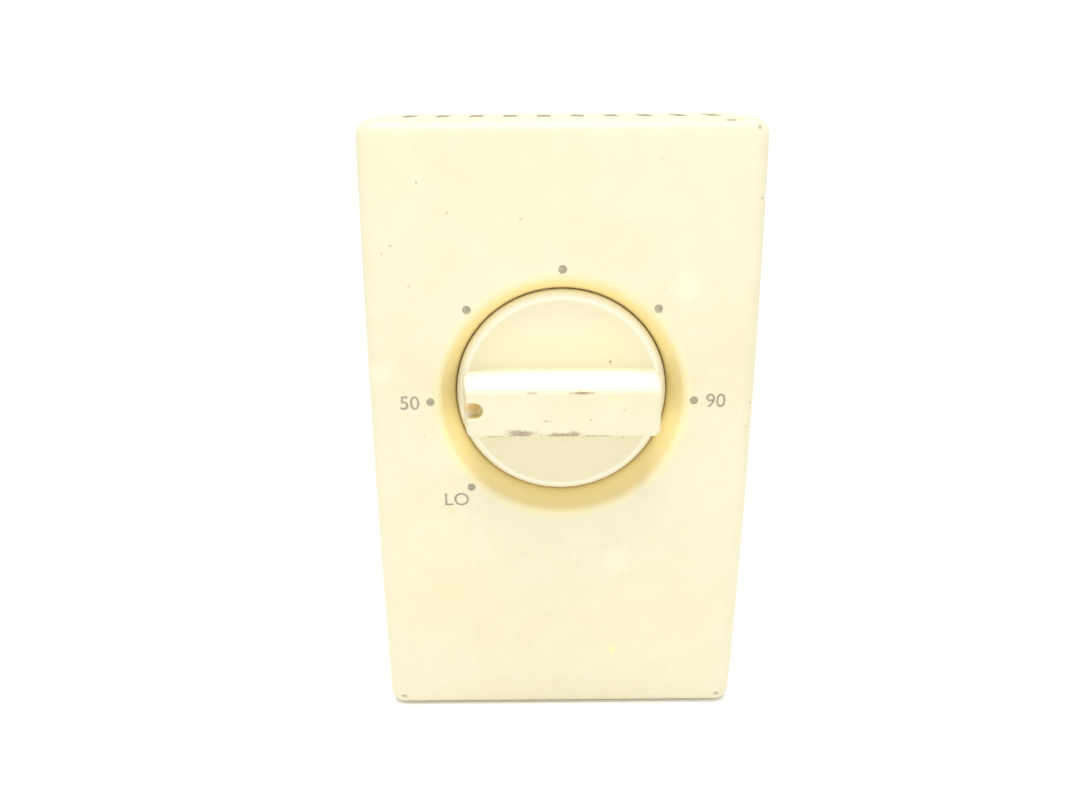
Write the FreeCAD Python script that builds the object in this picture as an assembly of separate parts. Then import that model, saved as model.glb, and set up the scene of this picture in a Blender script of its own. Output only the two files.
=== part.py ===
"""Line-voltage wall thermostat with a liquid-filled capsule, built as separate pieces in one frame.

Frame: X to the viewer's right, Y into the wall, Z up. The wall is the plane y = 0 and the origin is the
centre of the two mounting slots. Depths below are distances in front of the wall, so a depth d is y = -d.
"""
import FreeCAD, Part
import math
import os

V = FreeCAD.Vector
os.makedirs("parts", exist_ok=True)

# Case
CASE_W = 70.0
CASE_H = 116.5
CASE_DEPTH = 31.0
CROWN_R = 550.0
WALL = 2.0
CORNER_R = 3.0
FRONT_EDGE_R = 2.6
RIM_GAP = 0.2

# Dial, knob and the round well they sit in
DIAL_Z = 9.5
WELL_R = 19.55
WELL_WALL = 3.0
FLARE_R = 22.0
FLARE_BACK = 25.0
FLARE_EDGE_R = 1.5
WELL_FLOOR = 20.6
WELL_FLOOR_T = 1.4
FLOOR_HOLE_R = 6.6
DISC_R = 19.4
DISC_BACK = 21.4
DISC_FRONT = 27.0
DISC_EDGE_R = 1.8
DISC_WALL = 1.8
HUB_R = 7.0
GRIP_FRONT = 38.0
GRIP_LEN_BASE = 36.4
GRIP_LEN_FRONT = 33.8
GRIP_H = 8.7
GRIP_DRAFT = 0.4
GRIP_WALL = 1.6
NOTCH_W = 2.9
NOTCH_LEN = 2.9
NOTCH_DEPTH = 2.5
NOTCH_Z = DIAL_Z + 0.6

# Mounting plate
PLATE_W = 64.4
PLATE_H = 110.8
PLATE_T = 1.5
SCREW_SPACING = 83.3
SLOT_R = 2.1
SLOT_LEN = 8.0
ENTRY_X0 = 17.0
ENTRY_X1 = 27.0
ENTRY_Z0 = -3.0
ENTRY_Z1 = 22.0
TAB_HALF = 7.0
TAB_T = 1.2
TAB_REACH = 12.0
CASE_SCREW_D = 8.0
GROUND_AT = (-24.0, -46.0)

# Steel bracket, shaft and range nut
SHEET = 1.2
BRACKET_HALF = 15.0
BRACKET_Z0 = DIAL_Z - 13.5
BRACKET_Z1 = DIAL_Z + 21.5
WEB_FRONT = 18.2
SHAFT_R = 3.0
THREAD_R = 2.5
SHAFT_TAIL = 9.8
SHAFT_TIP = 35.0
FLAT_Z = 2.0
ARM_HALF = 1.5
LUG_R = 1.2
LUG_PITCH_R = 8.2
LUG_CLEAR = 0.12
TURN_CCW = 45.0
TURN_CW = 180.0
NUT_BACK = 12.6
NUT_FRONT = 15.2

# Lever, capsule and snap switch
PIVOT_Z = 27.0
PIVOT_D = 8.0
PIN_R = 1.5
LEVER_BACK = 7.2
LEVER_FRONT = 8.4
ARM_BACK = 16.3
ARM_FRONT = 17.5
CAPSULE_R = 11.5
RIVET_PITCH = 14.0
SWITCH_Z = -25.0
SWITCH_HALF_X = 25.0
SWITCH_HALF_Z = 11.0
SWITCH_BACK = 2.1
LEDGE_FRONT = 8.0
BODY_FRONT = 12.0
LID_FRONT = 14.0
BLADE_PIVOT_X = -9.2
CONTACT_X = 9.0
SCREW_X = 19.0


def block(x0, x1, d0, d1, z0, z1):
    """Box between two x values, two depths in front of the wall and two z values."""
    return Part.makeBox(x1 - x0, d1 - d0, z1 - z0, V(x0, -d1, z0))


def rod(r, d0, d1, x=0.0, z=0.0):
    """Round bar that stands out from the wall, between two depths."""
    return Part.makeCylinder(r, d1 - d0, V(x, -d0, z), V(0, -1, 0))


def rod_x(r, x0, x1, d, z):
    """Round bar along X at one depth and height."""
    return Part.makeCylinder(r, x1 - x0, V(x0, -d, z), V(1, 0, 0))


def rod_z(r, z0, z1, x, d):
    """Round bar along Z at one x and depth."""
    return Part.makeCylinder(r, z1 - z0, V(x, -d, z0), V(0, 0, 1))


def both_sides(shape):
    """A piece together with its mirror image across the plane x = 0."""
    return shape.fuse(shape.mirror(V(0, 0, 0), V(1, 0, 0)))


def slot_z(r, length, d0, d1, x, z):
    """Round-ended slot that is long in Z and cuts along the depth."""
    reach = length / 2 - r
    ends = rod(r, d0, d1, x, z - reach).fuse(rod(r, d0, d1, x, z + reach))
    return ends.fuse(block(x - r, x + r, d0, d1, z - reach, z + reach)).removeSplitter()


def depth_edges(shape, radius, keep=lambda p: True):
    """Rounds the straight edges that run along the depth and pass the keep test."""
    straight = [e for e in shape.Edges if len(e.Vertexes) == 2]
    along = [e for e in straight if abs(e.tangentAt(e.FirstParameter).y) > 0.99]
    return shape.makeFillet(radius, [e for e in along if keep(e.CenterOfMass)])


def drive_slot(shape, d0, d1, x, z, length, width=0.9):
    """Cuts a straight driver slot across a screw head that faces the viewer."""
    return shape.cut(block(x - length, x + length, d0, d1, z - width / 2, z + width / 2))


def front_screw(head_r, head_t, seat, shank_r, tip, x, z, slot_depth):
    """Round-headed screw driven from the front, with its head on the plane at depth seat."""
    head = rod(head_r, seat, seat + head_t, x, z)
    rim = [e for e in head.Edges if abs(e.CenterOfMass.y + seat + head_t) < 1e-6]
    head = head.makeFillet(head_t * 0.35, rim)
    screw = head.fuse(rod(shank_r, tip, seat, x, z))
    return drive_slot(screw, seat + head_t - slot_depth, seat + head_t + 1, x, z, head_r + 1).removeSplitter()


def crowned_slab(half_w, half_h, back, front, crown_r):
    """Block with a front face that is an arc of a large circle in side view."""
    end = front - (crown_r - math.sqrt(crown_r ** 2 - half_h ** 2))
    low_back = V(-half_w, -back, -half_h)
    low_front = V(-half_w, -end, -half_h)
    high_front = V(-half_w, -end, half_h)
    high_back = V(-half_w, -back, half_h)
    edges = [
        Part.makeLine(low_back, low_front),
        Part.Arc(low_front, V(-half_w, -front, 0), high_front).toShape(),
        Part.makeLine(high_front, high_back),
        Part.makeLine(high_back, low_back),
    ]
    return Part.Face(Part.Wire(edges)).extrude(V(2 * half_w, 0, 0))


def case_outside():
    """Outer skin of the case with its corners and its front edge rounded."""
    half_w = CASE_W / 2
    half_h = CASE_H / 2
    slab = crowned_slab(half_w, half_h, RIM_GAP, CASE_DEPTH, CROWN_R)
    slab = depth_edges(slab, CORNER_R)
    front = [e for e in slab.Edges if e.CenterOfMass.y < -CASE_DEPTH + 6]
    return slab.makeFillet(FRONT_EDGE_R, front)


def case_inside():
    """Hollow of the case behind its front wall."""
    half_w = CASE_W / 2 - WALL
    half_h = CASE_H / 2 - WALL
    hollow = crowned_slab(half_w, half_h, -1.0, CASE_DEPTH - WALL, CROWN_R - WALL)
    hollow = depth_edges(hollow, CORNER_R - WALL * 0.6)
    front = [e for e in hollow.Edges if e.CenterOfMass.y < -CASE_DEPTH + 8]
    return hollow.makeFillet(1.0, front)


def vent_slots(xs, z):
    """Row of round-ended vent slots through the top or the bottom wall."""
    cuts = []
    for x in xs:
        slot = block(x - 1.2, x + 1.2, 10.0, 20.0, z - 2.5, z + 2.5)
        slot = slot.fuse(rod_z(1.2, z - 2.5, z + 2.5, x, 10.0)).fuse(rod_z(1.2, z - 2.5, z + 2.5, x, 20.0))
        cuts.append(slot.removeSplitter())
    return cuts


def cover():
    """Moulded case: crowned shell, round well, top hooks, bottom screw boss and vents."""
    half_h = CASE_H / 2
    outside = case_outside()
    shell = outside.cut(case_inside())
    cup = rod(WELL_R + WELL_WALL, WELL_FLOOR - WELL_FLOOR_T, CASE_DEPTH + 1, 0, DIAL_Z).common(outside)
    shell = shell.fuse(cup).cut(rod(WELL_R, WELL_FLOOR, CASE_DEPTH + 2, 0, DIAL_Z)).cut(well_flare())
    shell = shell.cut(rod(FLOOR_HOLE_R, WELL_FLOOR - 3, WELL_FLOOR + 1, 0, DIAL_Z))
    boss = rod_z(5.0, -half_h + 1.0, -half_h + 3.4, 0, CASE_SCREW_D)
    hook = block(15.0, 23.0, 2.0, 3.6, half_h - 5.85, half_h - 1.0)
    shell = shell.fuse(boss).fuse(both_sides(hook))
    shell = shell.cut(rod_z(1.65, -half_h - 1, -half_h + 4, 0, CASE_SCREW_D))
    shell = shell.cut(rod_z(3.3, -half_h - 1, -half_h + 2.2, 0, CASE_SCREW_D))
    top_row = [6.0 * i - 27.0 for i in range(10)]
    bottom_row = [x for x in top_row if abs(x) > 8]
    vents = vent_slots(top_row, half_h - 1) + vent_slots(bottom_row, -half_h + 1)
    shell = shell.cut(Part.makeCompound(vents)).removeSplitter()
    rim = [e for e in shell.Edges if is_well_rim(e)]
    return shell.makeFillet(FLARE_EDGE_R, rim)


def well_flare():
    """Cone that opens the well towards the front face."""
    length = CASE_DEPTH + 2 - FLARE_BACK
    slope = (FLARE_R - WELL_R) / (CASE_DEPTH - FLARE_BACK)
    return Part.makeCone(WELL_R, WELL_R + slope * length, length, V(0, -FLARE_BACK, DIAL_Z), V(0, -1, 0))


def is_well_rim(edge):
    """True for the edge where the flared well meets the crowned front face."""
    if len(edge.Vertexes) > 2 or edge.Length < 20:
        return False
    points = edge.discretize(5)
    on_flare = all(abs(math.hypot(p.x, p.z - DIAL_Z) - FLARE_R) < 0.6 for p in points)
    return on_flare and all(p.y < -FLARE_BACK - 3 for p in points)


def mounting_plate():
    """Steel plate that is screwed over the wiring box, with tabs for the case and the mechanism."""
    half_w = PLATE_W / 2
    half_h = PLATE_H / 2
    plate = depth_edges(block(-half_w, half_w, 0, PLATE_T, -half_h, half_h), 2.5)
    plate = plate.cut(block(-TAB_HALF - 1, TAB_HALF + 1, -1, 3, -half_h - 1, -half_h + 2))
    lip = block(14, 24, PLATE_T, 5.2, 50, 51.2).fuse(block(14, 24, 4.0, 5.2, 51.2, 54.2))
    plate = plate.fuse(screw_tab(-half_h + 2)).fuse(both_sides(lip))
    for z in (-SCREW_SPACING / 2, SCREW_SPACING / 2):
        plate = plate.cut(slot_z(SLOT_R, SLOT_LEN, -1, 3, 0, z))
    entry = depth_edges(block(ENTRY_X0, ENTRY_X1, -1, 3, ENTRY_Z0, ENTRY_Z1), 2.0)
    plate = plate.cut(both_sides(entry))
    plate = plate.cut(bracket_tabs(0.05, -1, 3))
    for side in (-1, 1):
        plate = plate.cut(rod(1.25, -1, 3, 0, DIAL_Z + side * RIVET_PITCH))
        plate = plate.cut(rod(1.45, -1, 3, *switch_screw_at(side)))
    return plate.cut(rod(1.95, -1, 3, *GROUND_AT)).removeSplitter()


def screw_tab(bottom):
    """Tab bent forward from the plate's lower edge for the case screw, its front corners rounded."""
    tab = block(-TAB_HALF, TAB_HALF, 0, TAB_REACH, bottom - TAB_T, bottom)
    front = [e for e in tab.Edges if abs(e.CenterOfMass.y + TAB_REACH) < 1e-6]
    corners = [e for e in front if abs(abs(e.CenterOfMass.x) - TAB_HALF) < 1e-6]
    return tab.makeFillet(2.0, corners).cut(rod_z(1.5, bottom - 3, bottom + 1, 0, CASE_SCREW_D))


def switch_screw_at(side):
    """Centre of one of the two screws that hold the switch: -1 is low on the left, 1 is high on the right."""
    return (side * 20.5, SWITCH_Z + side * 8.2)


def lid_screw_at(side):
    """Centre of one of the two screws of the switch's lid, in opposite corners."""
    return (side * 12.2, SWITCH_Z + side * 9.3)


def bracket_tabs(gap, d0, d1):
    """Four tabs at the back of the bracket's side walls, or their slots when gap is above zero."""
    low = block(BRACKET_HALF - SHEET - gap, BRACKET_HALF + gap, d0, d1, -gap, 4 + gap)
    high = block(BRACKET_HALF - SHEET - gap, BRACKET_HALF + gap, d0, d1, 24 - gap, 28 + gap)
    return both_sides(low.fuse(high))


def lug_centres():
    """Where the two stop lugs stand, just past the arm at each end of the dial's turn."""
    step = math.degrees(math.asin((ARM_HALF + LUG_R + LUG_CLEAR) / LUG_PITCH_R))
    angles = [180.0 - TURN_CW - step, 180.0 + TURN_CCW + step]
    return [polar(LUG_PITCH_R, a) for a in angles]


def polar(radius, degrees):
    """Point round the dial axis; the angle is counter-clockwise from the right as the viewer sees it."""
    a = math.radians(degrees)
    return (radius * math.cos(a), DIAL_Z + radius * math.sin(a))


def bracket():
    """U-shaped steel bracket that carries the shaft, guides the nut and holds the lever's pin."""
    web_back = WEB_FRONT - SHEET
    outer = block(-BRACKET_HALF, BRACKET_HALF, PLATE_T, WEB_FRONT, BRACKET_Z0, BRACKET_Z1)
    front = [e for e in outer.Edges if abs(e.CenterOfMass.y + WEB_FRONT) < 1e-6]
    bends = [e for e in front if abs(e.CenterOfMass.x) > BRACKET_HALF - 1]
    outer = outer.makeFillet(1.6, bends)
    inner = BRACKET_HALF - SHEET
    frame = outer.cut(block(-inner, inner, 0, web_back, BRACKET_Z0 - 1, BRACKET_Z1 + 1))
    frame = frame.fuse(bracket_tabs(0.0, 0.0, PLATE_T + 0.5))
    frame = frame.cut(rod(4.0, 15, 20, 0, DIAL_Z))
    frame = frame.cut(rod_x(PIN_R + 0.03, -20, 20, PIVOT_D, PIVOT_Z))
    frame = frame.cut(block(-20, 20, 11.3, 15.8, DIAL_Z - 2.2, DIAL_Z + 2.2))
    frame = frame.cut(block(-20, 20, 4.5, 11.0, DIAL_Z - 9.0, DIAL_Z - 3.5))
    for x, z in lug_centres():
        frame = frame.fuse(rod(LUG_R, 15.9, web_back + 0.2, x, z))
    return frame.removeSplitter()


def bushing():
    """Brass bearing for the shaft, set in the bracket's front wall."""
    body = rod(3.95, 16.8, WEB_FRONT, 0, DIAL_Z).fuse(rod(6.0, WEB_FRONT, 19.4, 0, DIAL_Z))
    return body.cut(rod(SHAFT_R + 0.04, 16, 20, 0, DIAL_Z)).removeSplitter()


def dial_shaft():
    """Steel shaft with a flat for the knob at the front and the range screw at the back."""
    shaft = rod(SHAFT_R, 16.6, SHAFT_TIP, 0, DIAL_Z).fuse(rod(THREAD_R, SHAFT_TAIL, 16.6, 0, DIAL_Z))
    groove = rod(SHAFT_R + 1, 19.7, 20.3, 0, DIAL_Z).cut(rod(2.3, 19, 21, 0, DIAL_Z))
    shaft = shaft.cut(groove).cut(block(-4, 4, 22, 36, DIAL_Z + FLAT_Z, DIAL_Z + 4))
    return shaft.removeSplitter()


def stop_washer():
    """Stamped washer with the arm that meets the stop lugs."""
    arm = block(-9.3, -3.5, 15.8, 16.6, DIAL_Z - ARM_HALF, DIAL_Z + ARM_HALF)
    washer = rod(5.2, 15.8, 16.6, 0, DIAL_Z).fuse(arm)
    return washer.cut(rod(THREAD_R + 0.02, 15, 17, 0, DIAL_Z)).removeSplitter()


def shaft_clip():
    """Open spring-steel clip in the groove of the shaft."""
    ring = rod(4.6, 19.75, 20.25, 0, DIAL_Z).cut(rod(2.35, 19, 21, 0, DIAL_Z))
    ring = ring.cut(block(-1.7, 1.7, 19, 21, DIAL_Z - 6, DIAL_Z))
    for angle in (30, 150, 270):
        ring = ring.cut(rod(0.9, 19, 21, *polar(3.6, angle)))
    return ring.removeSplitter()


def knob_grip():
    """Solid bar across the disc, longer at its foot than at its front."""
    base = GRIP_LEN_BASE / 2
    tip = GRIP_LEN_FRONT / 2
    low = DISC_FRONT - 1.0
    foot = rectangle(base, GRIP_H / 2 + GRIP_DRAFT, low)
    front = rectangle(tip, GRIP_H / 2, GRIP_FRONT)
    bar = Part.makeLoft([foot, front], True)
    uprights = [e for e in bar.Edges if abs(e.Vertexes[0].Point.y - e.Vertexes[1].Point.y) > 5]
    bar = bar.makeFillet(1.3, uprights)
    rim = [e for e in bar.Edges if abs(e.CenterOfMass.y + GRIP_FRONT) < 0.01]
    return bar.makeFillet(0.7, rim)


def rectangle(half_x, half_z, depth):
    """Closed rectangle round the dial axis at one depth."""
    corners = [(-half_x, -half_z), (half_x, -half_z), (half_x, half_z), (-half_x, half_z)]
    points = [V(x, -depth, DIAL_Z + z) for x, z in corners]
    return Part.makePolygon(points + points[:1])


def pointer_notch():
    """Open-ended slot with a round inner end, in the left end of the grip's front."""
    half = NOTCH_W / 2
    floor = GRIP_FRONT - NOTCH_DEPTH
    centre = -GRIP_LEN_FRONT / 2 + NOTCH_LEN - half
    channel = block(-25, centre, floor, GRIP_FRONT + 1, NOTCH_Z - half, NOTCH_Z + half)
    return channel.fuse(rod(half, floor, GRIP_FRONT + 1, centre, NOTCH_Z)).removeSplitter()


def knob():
    """Moulded knob: hollow-backed disc, cored grip bar, pointer notch and a hub bored for the shaft."""
    disc = rod(DISC_R, DISC_BACK, DISC_FRONT, 0, DIAL_Z)
    front = [e for e in disc.Edges if abs(e.CenterOfMass.y + DISC_FRONT) < 1e-6]
    disc = disc.makeFillet(DISC_EDGE_R, front[:1])
    body = disc.fuse(knob_grip())
    half = GRIP_H / 2 - GRIP_WALL
    ceiling = DISC_FRONT - DISC_WALL
    hollow = rod(DISC_R - DISC_WALL, DISC_BACK - 1, ceiling, 0, DIAL_Z)
    body = body.cut(hollow.cut(rod(HUB_R, DISC_BACK - 2, ceiling + 1, 0, DIAL_Z)))
    core = block(HUB_R + 0.6, 14.6, ceiling - 1, GRIP_FRONT - 2.6, DIAL_Z - half, DIAL_Z + half)
    body = body.cut(both_sides(core))
    body = body.cut(pointer_notch())
    bore = rod(SHAFT_R + 0.05, DISC_BACK - 1, SHAFT_TIP + 0.6, 0, DIAL_Z)
    bore = bore.cut(block(-4, 4, DISC_BACK + 0.8, 40, DIAL_Z + FLAT_Z + 0.45, DIAL_Z + 5))
    return body.cut(bore).removeSplitter()


def knob_clip():
    """Spring-steel leaf that holds the knob on the flat of the shaft."""
    return block(-1.5, 1.5, 24.5, 34.0, DIAL_Z + FLAT_Z + 0.08, DIAL_Z + FLAT_Z + 0.38)


def range_nut():
    """Brass nut that the shaft drives along the bracket; two ears in slots keep it from turning."""
    body = block(-13.4, 13.4, NUT_BACK, NUT_FRONT, DIAL_Z - 4.5, DIAL_Z + 4.5)
    ears = block(-16.8, 16.8, NUT_BACK, NUT_FRONT, DIAL_Z - 2.0, DIAL_Z + 2.0)
    nut = body.fuse(ears).cut(rod(THREAD_R + 0.06, 10, 17, 0, DIAL_Z))
    return nut.removeSplitter()


def coil(mean_r, wire_r, d0, d1, turns, x, z):
    """Round-wire compression spring along the depth, its wire ends inside d0 and d1."""
    height = d1 - d0 - 2 * wire_r
    helix = Part.makeHelix(height / turns, height, mean_r)
    circle = Part.makeCircle(wire_r, V(mean_r, 0, 0), V(0, 1, 0))
    pipe = Part.Wire(helix.Edges).makePipeShell([Part.Wire(circle)], True, True)
    pipe.rotate(V(0, 0, 0), V(1, 0, 0), 90)
    pipe.translate(V(x, -(d0 + wire_r), z))
    return pipe


def range_spring():
    """Range spring between the nut and the main lever."""
    return coil(4.6, 0.35, LEVER_FRONT + 0.03, NUT_BACK - 0.03, 2.75, 0, DIAL_Z)


def main_lever():
    """Pressed-steel lever from the pivot pin, over the capsule, to the switch plunger."""
    plate = block(-10, 10, LEVER_BACK, LEVER_FRONT, -9, 24)
    taper = block(-11, -5, 6, 10, -10, -2)
    plate = plate.cut(both_sides(taper))
    ear = block(10.0, 11.2, 5.2, 10.8, 20, 30)
    riser = block(-5, 5, LEVER_BACK, ARM_FRONT, -9, -7.8)
    arm = block(-5, 5, ARM_BACK, ARM_FRONT, -29, -7.8)
    dimple = rod(3.9, LEVER_FRONT - 0.2, 8.9, 0, DIAL_Z)
    lever = plate.fuse(both_sides(ear)).fuse(riser).fuse(arm).fuse(dimple)
    lever = lever.cut(rod_x(PIN_R + 0.05, -12, 12, PIVOT_D, PIVOT_Z))
    return lever.cut(rod(1.3, 15, 20, 0, SWITCH_Z)).removeSplitter()


def pivot_pin():
    """Pin that the main lever turns on."""
    return rod_x(PIN_R, -16.4, 16.4, PIVOT_D, PIVOT_Z)


def pin_clips():
    """Two clips that keep the pin in the bracket."""
    ring = rod_x(2.8, BRACKET_HALF + 0.1, BRACKET_HALF + 0.7, PIVOT_D, PIVOT_Z)
    ring = ring.cut(rod_x(PIN_R, 14, 17, PIVOT_D, PIVOT_Z))
    ring = ring.cut(block(14, 17, PIVOT_D - 1.2, PIVOT_D + 1.2, PIVOT_Z, PIVOT_Z + 4))
    return Part.makeCompound([ring, ring.mirror(V(0, 0, 0), V(1, 0, 0))])


def calibration_screw():
    """Adjusting screw in the end of the lever, its tip against the switch plunger."""
    head = rod(2.4, 19.3, 20.7, 0, SWITCH_Z)
    screw = head.fuse(rod(1.25, 15.0, 19.3, 0, SWITCH_Z))
    return drive_slot(screw, 20.0, 22, 0, SWITCH_Z, 3, 0.6).removeSplitter()


def calibration_nut():
    """Hexagonal lock nut of the adjusting screw."""
    turns = [math.radians(60 * i) for i in range(6)]
    points = [V(2.9 * math.cos(a), -ARM_FRONT, SWITCH_Z + 2.9 * math.sin(a)) for a in turns]
    prism = Part.Face(Part.makePolygon(points + points[:1])).extrude(V(0, -1.5, 0))
    return prism.cut(rod(1.3, 17, 20, 0, SWITCH_Z))


def capsule():
    """Sealed capsule with a corrugated front and a guide collar for its button."""
    profile = [(0, 2.3), (10.6, 2.3), (10.9, 3.4), (CAPSULE_R, 3.4), (CAPSULE_R, 4.1)]
    profile += [(10.4, 4.1), (10.0, 5.0)]
    for crest in (8.4, 6.4, 4.6):
        profile += [(crest + 0.9, 5.0), (crest + 0.4, 5.5), (crest - 0.2, 5.5), (crest - 0.6, 5.0)]
    profile += [(3.2, 5.0), (3.2, 6.2), (2.05, 6.2), (2.05, 4.0), (0, 4.0)]
    points = [V(r, -d, 0) for r, d in profile]
    solid = Part.Face(Part.makePolygon(points + points[:1])).revolve(V(0, 0, 0), V(0, 1, 0), 360)
    solid.translate(V(0, 0, DIAL_Z))
    return solid


def capsule_seat():
    """Brass strip that holds the capsule on the plate."""
    strip = depth_edges(block(-6, 6, PLATE_T, 2.3, DIAL_Z - 16.5, DIAL_Z + 16.5), 2.5)
    strip = strip.fuse(rod(12.3, PLATE_T, 2.3, 0, DIAL_Z))
    holes = rod(1.25, 1, 3, 0, DIAL_Z - RIVET_PITCH).fuse(rod(1.25, 1, 3, 0, DIAL_Z + RIVET_PITCH))
    return strip.cut(holes).removeSplitter()


def seat_rivets():
    """Two rivets through the capsule seat and the plate."""
    rivets = []
    for z in (DIAL_Z - RIVET_PITCH, DIAL_Z + RIVET_PITCH):
        head = rod(2.1, 2.3, 3.1, 0, z)
        head = head.makeFillet(0.5, [e for e in head.Edges if abs(e.CenterOfMass.y + 3.1) < 1e-6])
        rivets.append(head.fuse(rod(1.2, 0.1, 2.3, 0, z)).removeSplitter())
    return Part.makeCompound(rivets)


def diaphragm_button():
    """Button that carries the capsule's push to the lever."""
    button = rod(2.0, 4.4, 6.7, 0, DIAL_Z).fuse(rod(3.0, 6.7, 7.12, 0, DIAL_Z))
    return button.removeSplitter()


def fill_tube():
    """Short copper tube that the capsule was filled through, pinched shut at its end."""
    tube = rod_z(0.7, -8.0, 2.6, 8.0, 3.75)
    pinch = block(7.1, 8.9, 3.45, 4.05, -10.5, -7.8)
    return tube.fuse(pinch).removeSplitter().cut(capsule()).removeSplitter()


def switch_body():
    """Moulded base of the snap switch, with a cavity and a terminal ledge at each end."""
    z0 = SWITCH_Z - SWITCH_HALF_Z
    z1 = SWITCH_Z + SWITCH_HALF_Z
    body = block(-SWITCH_HALF_X, SWITCH_HALF_X, SWITCH_BACK, LEDGE_FRONT, z0, z1)
    body = depth_edges(body, 1.2)
    body = body.fuse(block(-14, 14, SWITCH_BACK, BODY_FRONT, z0, z1))
    body = body.cut(block(-12.5, 12.5, 4.0, BODY_FRONT + 1, SWITCH_Z - 7.5, SWITCH_Z + 7.5))
    body = body.fuse(block(6.3, 13, 3.5, 5.2, SWITCH_Z - 4, SWITCH_Z + 4))
    body = body.cut(block(-15, 15, LEDGE_FRONT, LEDGE_FRONT + 1.05, SWITCH_Z - 4.05, SWITCH_Z + 4.05))
    for side in (-1, 1):
        body = body.cut(rod(1.7, 3.3, 9, side * SCREW_X, SWITCH_Z))
        body = body.cut(rod(1.5, 1, 9, *switch_screw_at(side)))
        body = body.cut(rod(0.85, 7.0, 13, *lid_screw_at(side)))
    return body.removeSplitter()


def switch_cover():
    """Lid of the snap switch with the guide for its plunger."""
    lid = block(-14, 14, BODY_FRONT, LID_FRONT, SWITCH_Z - SWITCH_HALF_Z, SWITCH_Z + SWITCH_HALF_Z)
    lid = depth_edges(lid, 1.0).fuse(rod(3.2, LID_FRONT - 0.1, LID_FRONT + 0.5, 0, SWITCH_Z))
    lid = lid.cut(rod(1.56, 11, 16, 0, SWITCH_Z))
    for side in (-1, 1):
        lid = lid.cut(rod(0.95, 11, 16, *lid_screw_at(side)))
    return lid.removeSplitter()


def switch_cover_screws():
    """Two small screws that hold the lid on the switch."""
    screws = [front_screw(1.5, 1.0, LID_FRONT, 0.8, 7.4, *lid_screw_at(side), 0.5) for side in (-1, 1)]
    return Part.makeCompound(screws)


def switch_mount_screws():
    """Two screws through the ledges into the mounting plate."""
    screws = [front_screw(2.6, 1.7, LEDGE_FRONT, 1.4, 0.1, *switch_screw_at(side), 0.8) for side in (-1, 1)]
    return Part.makeCompound(screws)


def switch_plunger():
    """Plunger that passes the lever's push to the blade."""
    stem = rod(1.5, 11.0, 14.9, 0, SWITCH_Z).fuse(rod(2.6, 10.4, 11.0, 0, SWITCH_Z))
    return stem.fuse(rod(0.8, 10.1, 10.4, 0, SWITCH_Z)).removeSplitter()


def snap_blade():
    """Springy contact arm, its left end in the notch of the line terminal."""
    blade = block(BLADE_PIVOT_X, 10.5, 9.6, 10.0, SWITCH_Z - 3, SWITCH_Z + 3)
    return depth_edges(blade, 0.9, lambda p: p.x > 0).cut(rod(0.7, 9, 11, CONTACT_X, SWITCH_Z))


def moving_contact():
    """Silver rivet in the end of the blade."""
    rivet = rod(1.6, 8.3, 9.6, CONTACT_X, SWITCH_Z).fuse(rod(0.7, 9.6, 10.0, CONTACT_X, SWITCH_Z))
    return rivet.fuse(rod(1.1, 10.0, 10.3, CONTACT_X, SWITCH_Z)).removeSplitter()


def fixed_contact():
    """Silver rivet on the load terminal, below the moving contact."""
    head = rod(1.6, 6.2, 6.96, CONTACT_X, SWITCH_Z)
    return head.fuse(rod(0.8, 5.2, 6.2, CONTACT_X, SWITCH_Z)).removeSplitter()


def blade_spring():
    """Small coil that lifts the blade again when the lever lets go."""
    return coil(1.9, 0.2, 4.02, 9.55, 6, 0, SWITCH_Z)


def line_terminal():
    """Brass strip with the upturned, notched end that the blade pivots in."""
    strip = block(-24, -9, 8, 9, SWITCH_Z - 4, SWITCH_Z + 4)
    post = block(-10, -9, 8, 10.9, SWITCH_Z - 3.6, SWITCH_Z + 3.6)
    points = [V(-9.55, -9.8, -29), V(-8.9, -9.15, -29), V(-8.9, -10.45, -29)]
    notch = Part.Face(Part.makePolygon(points + points[:1])).extrude(V(0, 0, 8))
    return strip.fuse(post).cut(notch).cut(rod(1.75, 7, 10, -SCREW_X, SWITCH_Z)).removeSplitter()


def load_terminal():
    """Brass strip that steps down to carry the fixed contact."""
    z0 = SWITCH_Z - 4
    z1 = SWITCH_Z + 4
    riser = block(11.3, 12.3, 5.2, 9, z0, z1)
    foot = block(6.5, 12.3, 5.2, 6.2, z0, z1)
    strip = block(11.3, 24, 8, 9, z0, z1).fuse(riser).fuse(foot)
    strip = strip.cut(rod(0.8, 5, 7, CONTACT_X, SWITCH_Z))
    return strip.cut(rod(1.75, 7, 10, SCREW_X, SWITCH_Z)).removeSplitter()


def terminal_clamps():
    """Two pressed saddles that grip the wires under the terminal screws."""
    clamps = []
    for side in (-1, 1):
        x = side * SCREW_X
        saddle = block(x - 3.9, x + 3.9, 9, 10.2, SWITCH_Z - 3.9, SWITCH_Z + 3.9)
        for z in (SWITCH_Z - 2.6, SWITCH_Z + 2.6):
            saddle = saddle.cut(rod_x(0.8, x - 5, x + 5, 9.0, z))
        clamps.append(saddle.cut(rod(1.8, 8, 12, x, SWITCH_Z)).removeSplitter())
    return Part.makeCompound(clamps)


def terminal_screws():
    """Two binding-head screws of the terminals."""
    screws = [front_screw(3.1, 2.2, 10.2, 1.6, 3.5, side * SCREW_X, SWITCH_Z, 1.1) for side in (-1, 1)]
    return Part.makeCompound(screws)


def insulating_liner():
    """Fibre sheet between the switch and the steel plate."""
    sheet = block(-27, 27, PLATE_T, SWITCH_BACK, -36.8, -12.5)
    for side in (-1, 1):
        sheet = sheet.cut(rod(1.6, 1, 3, *switch_screw_at(side)))
    return sheet


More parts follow.
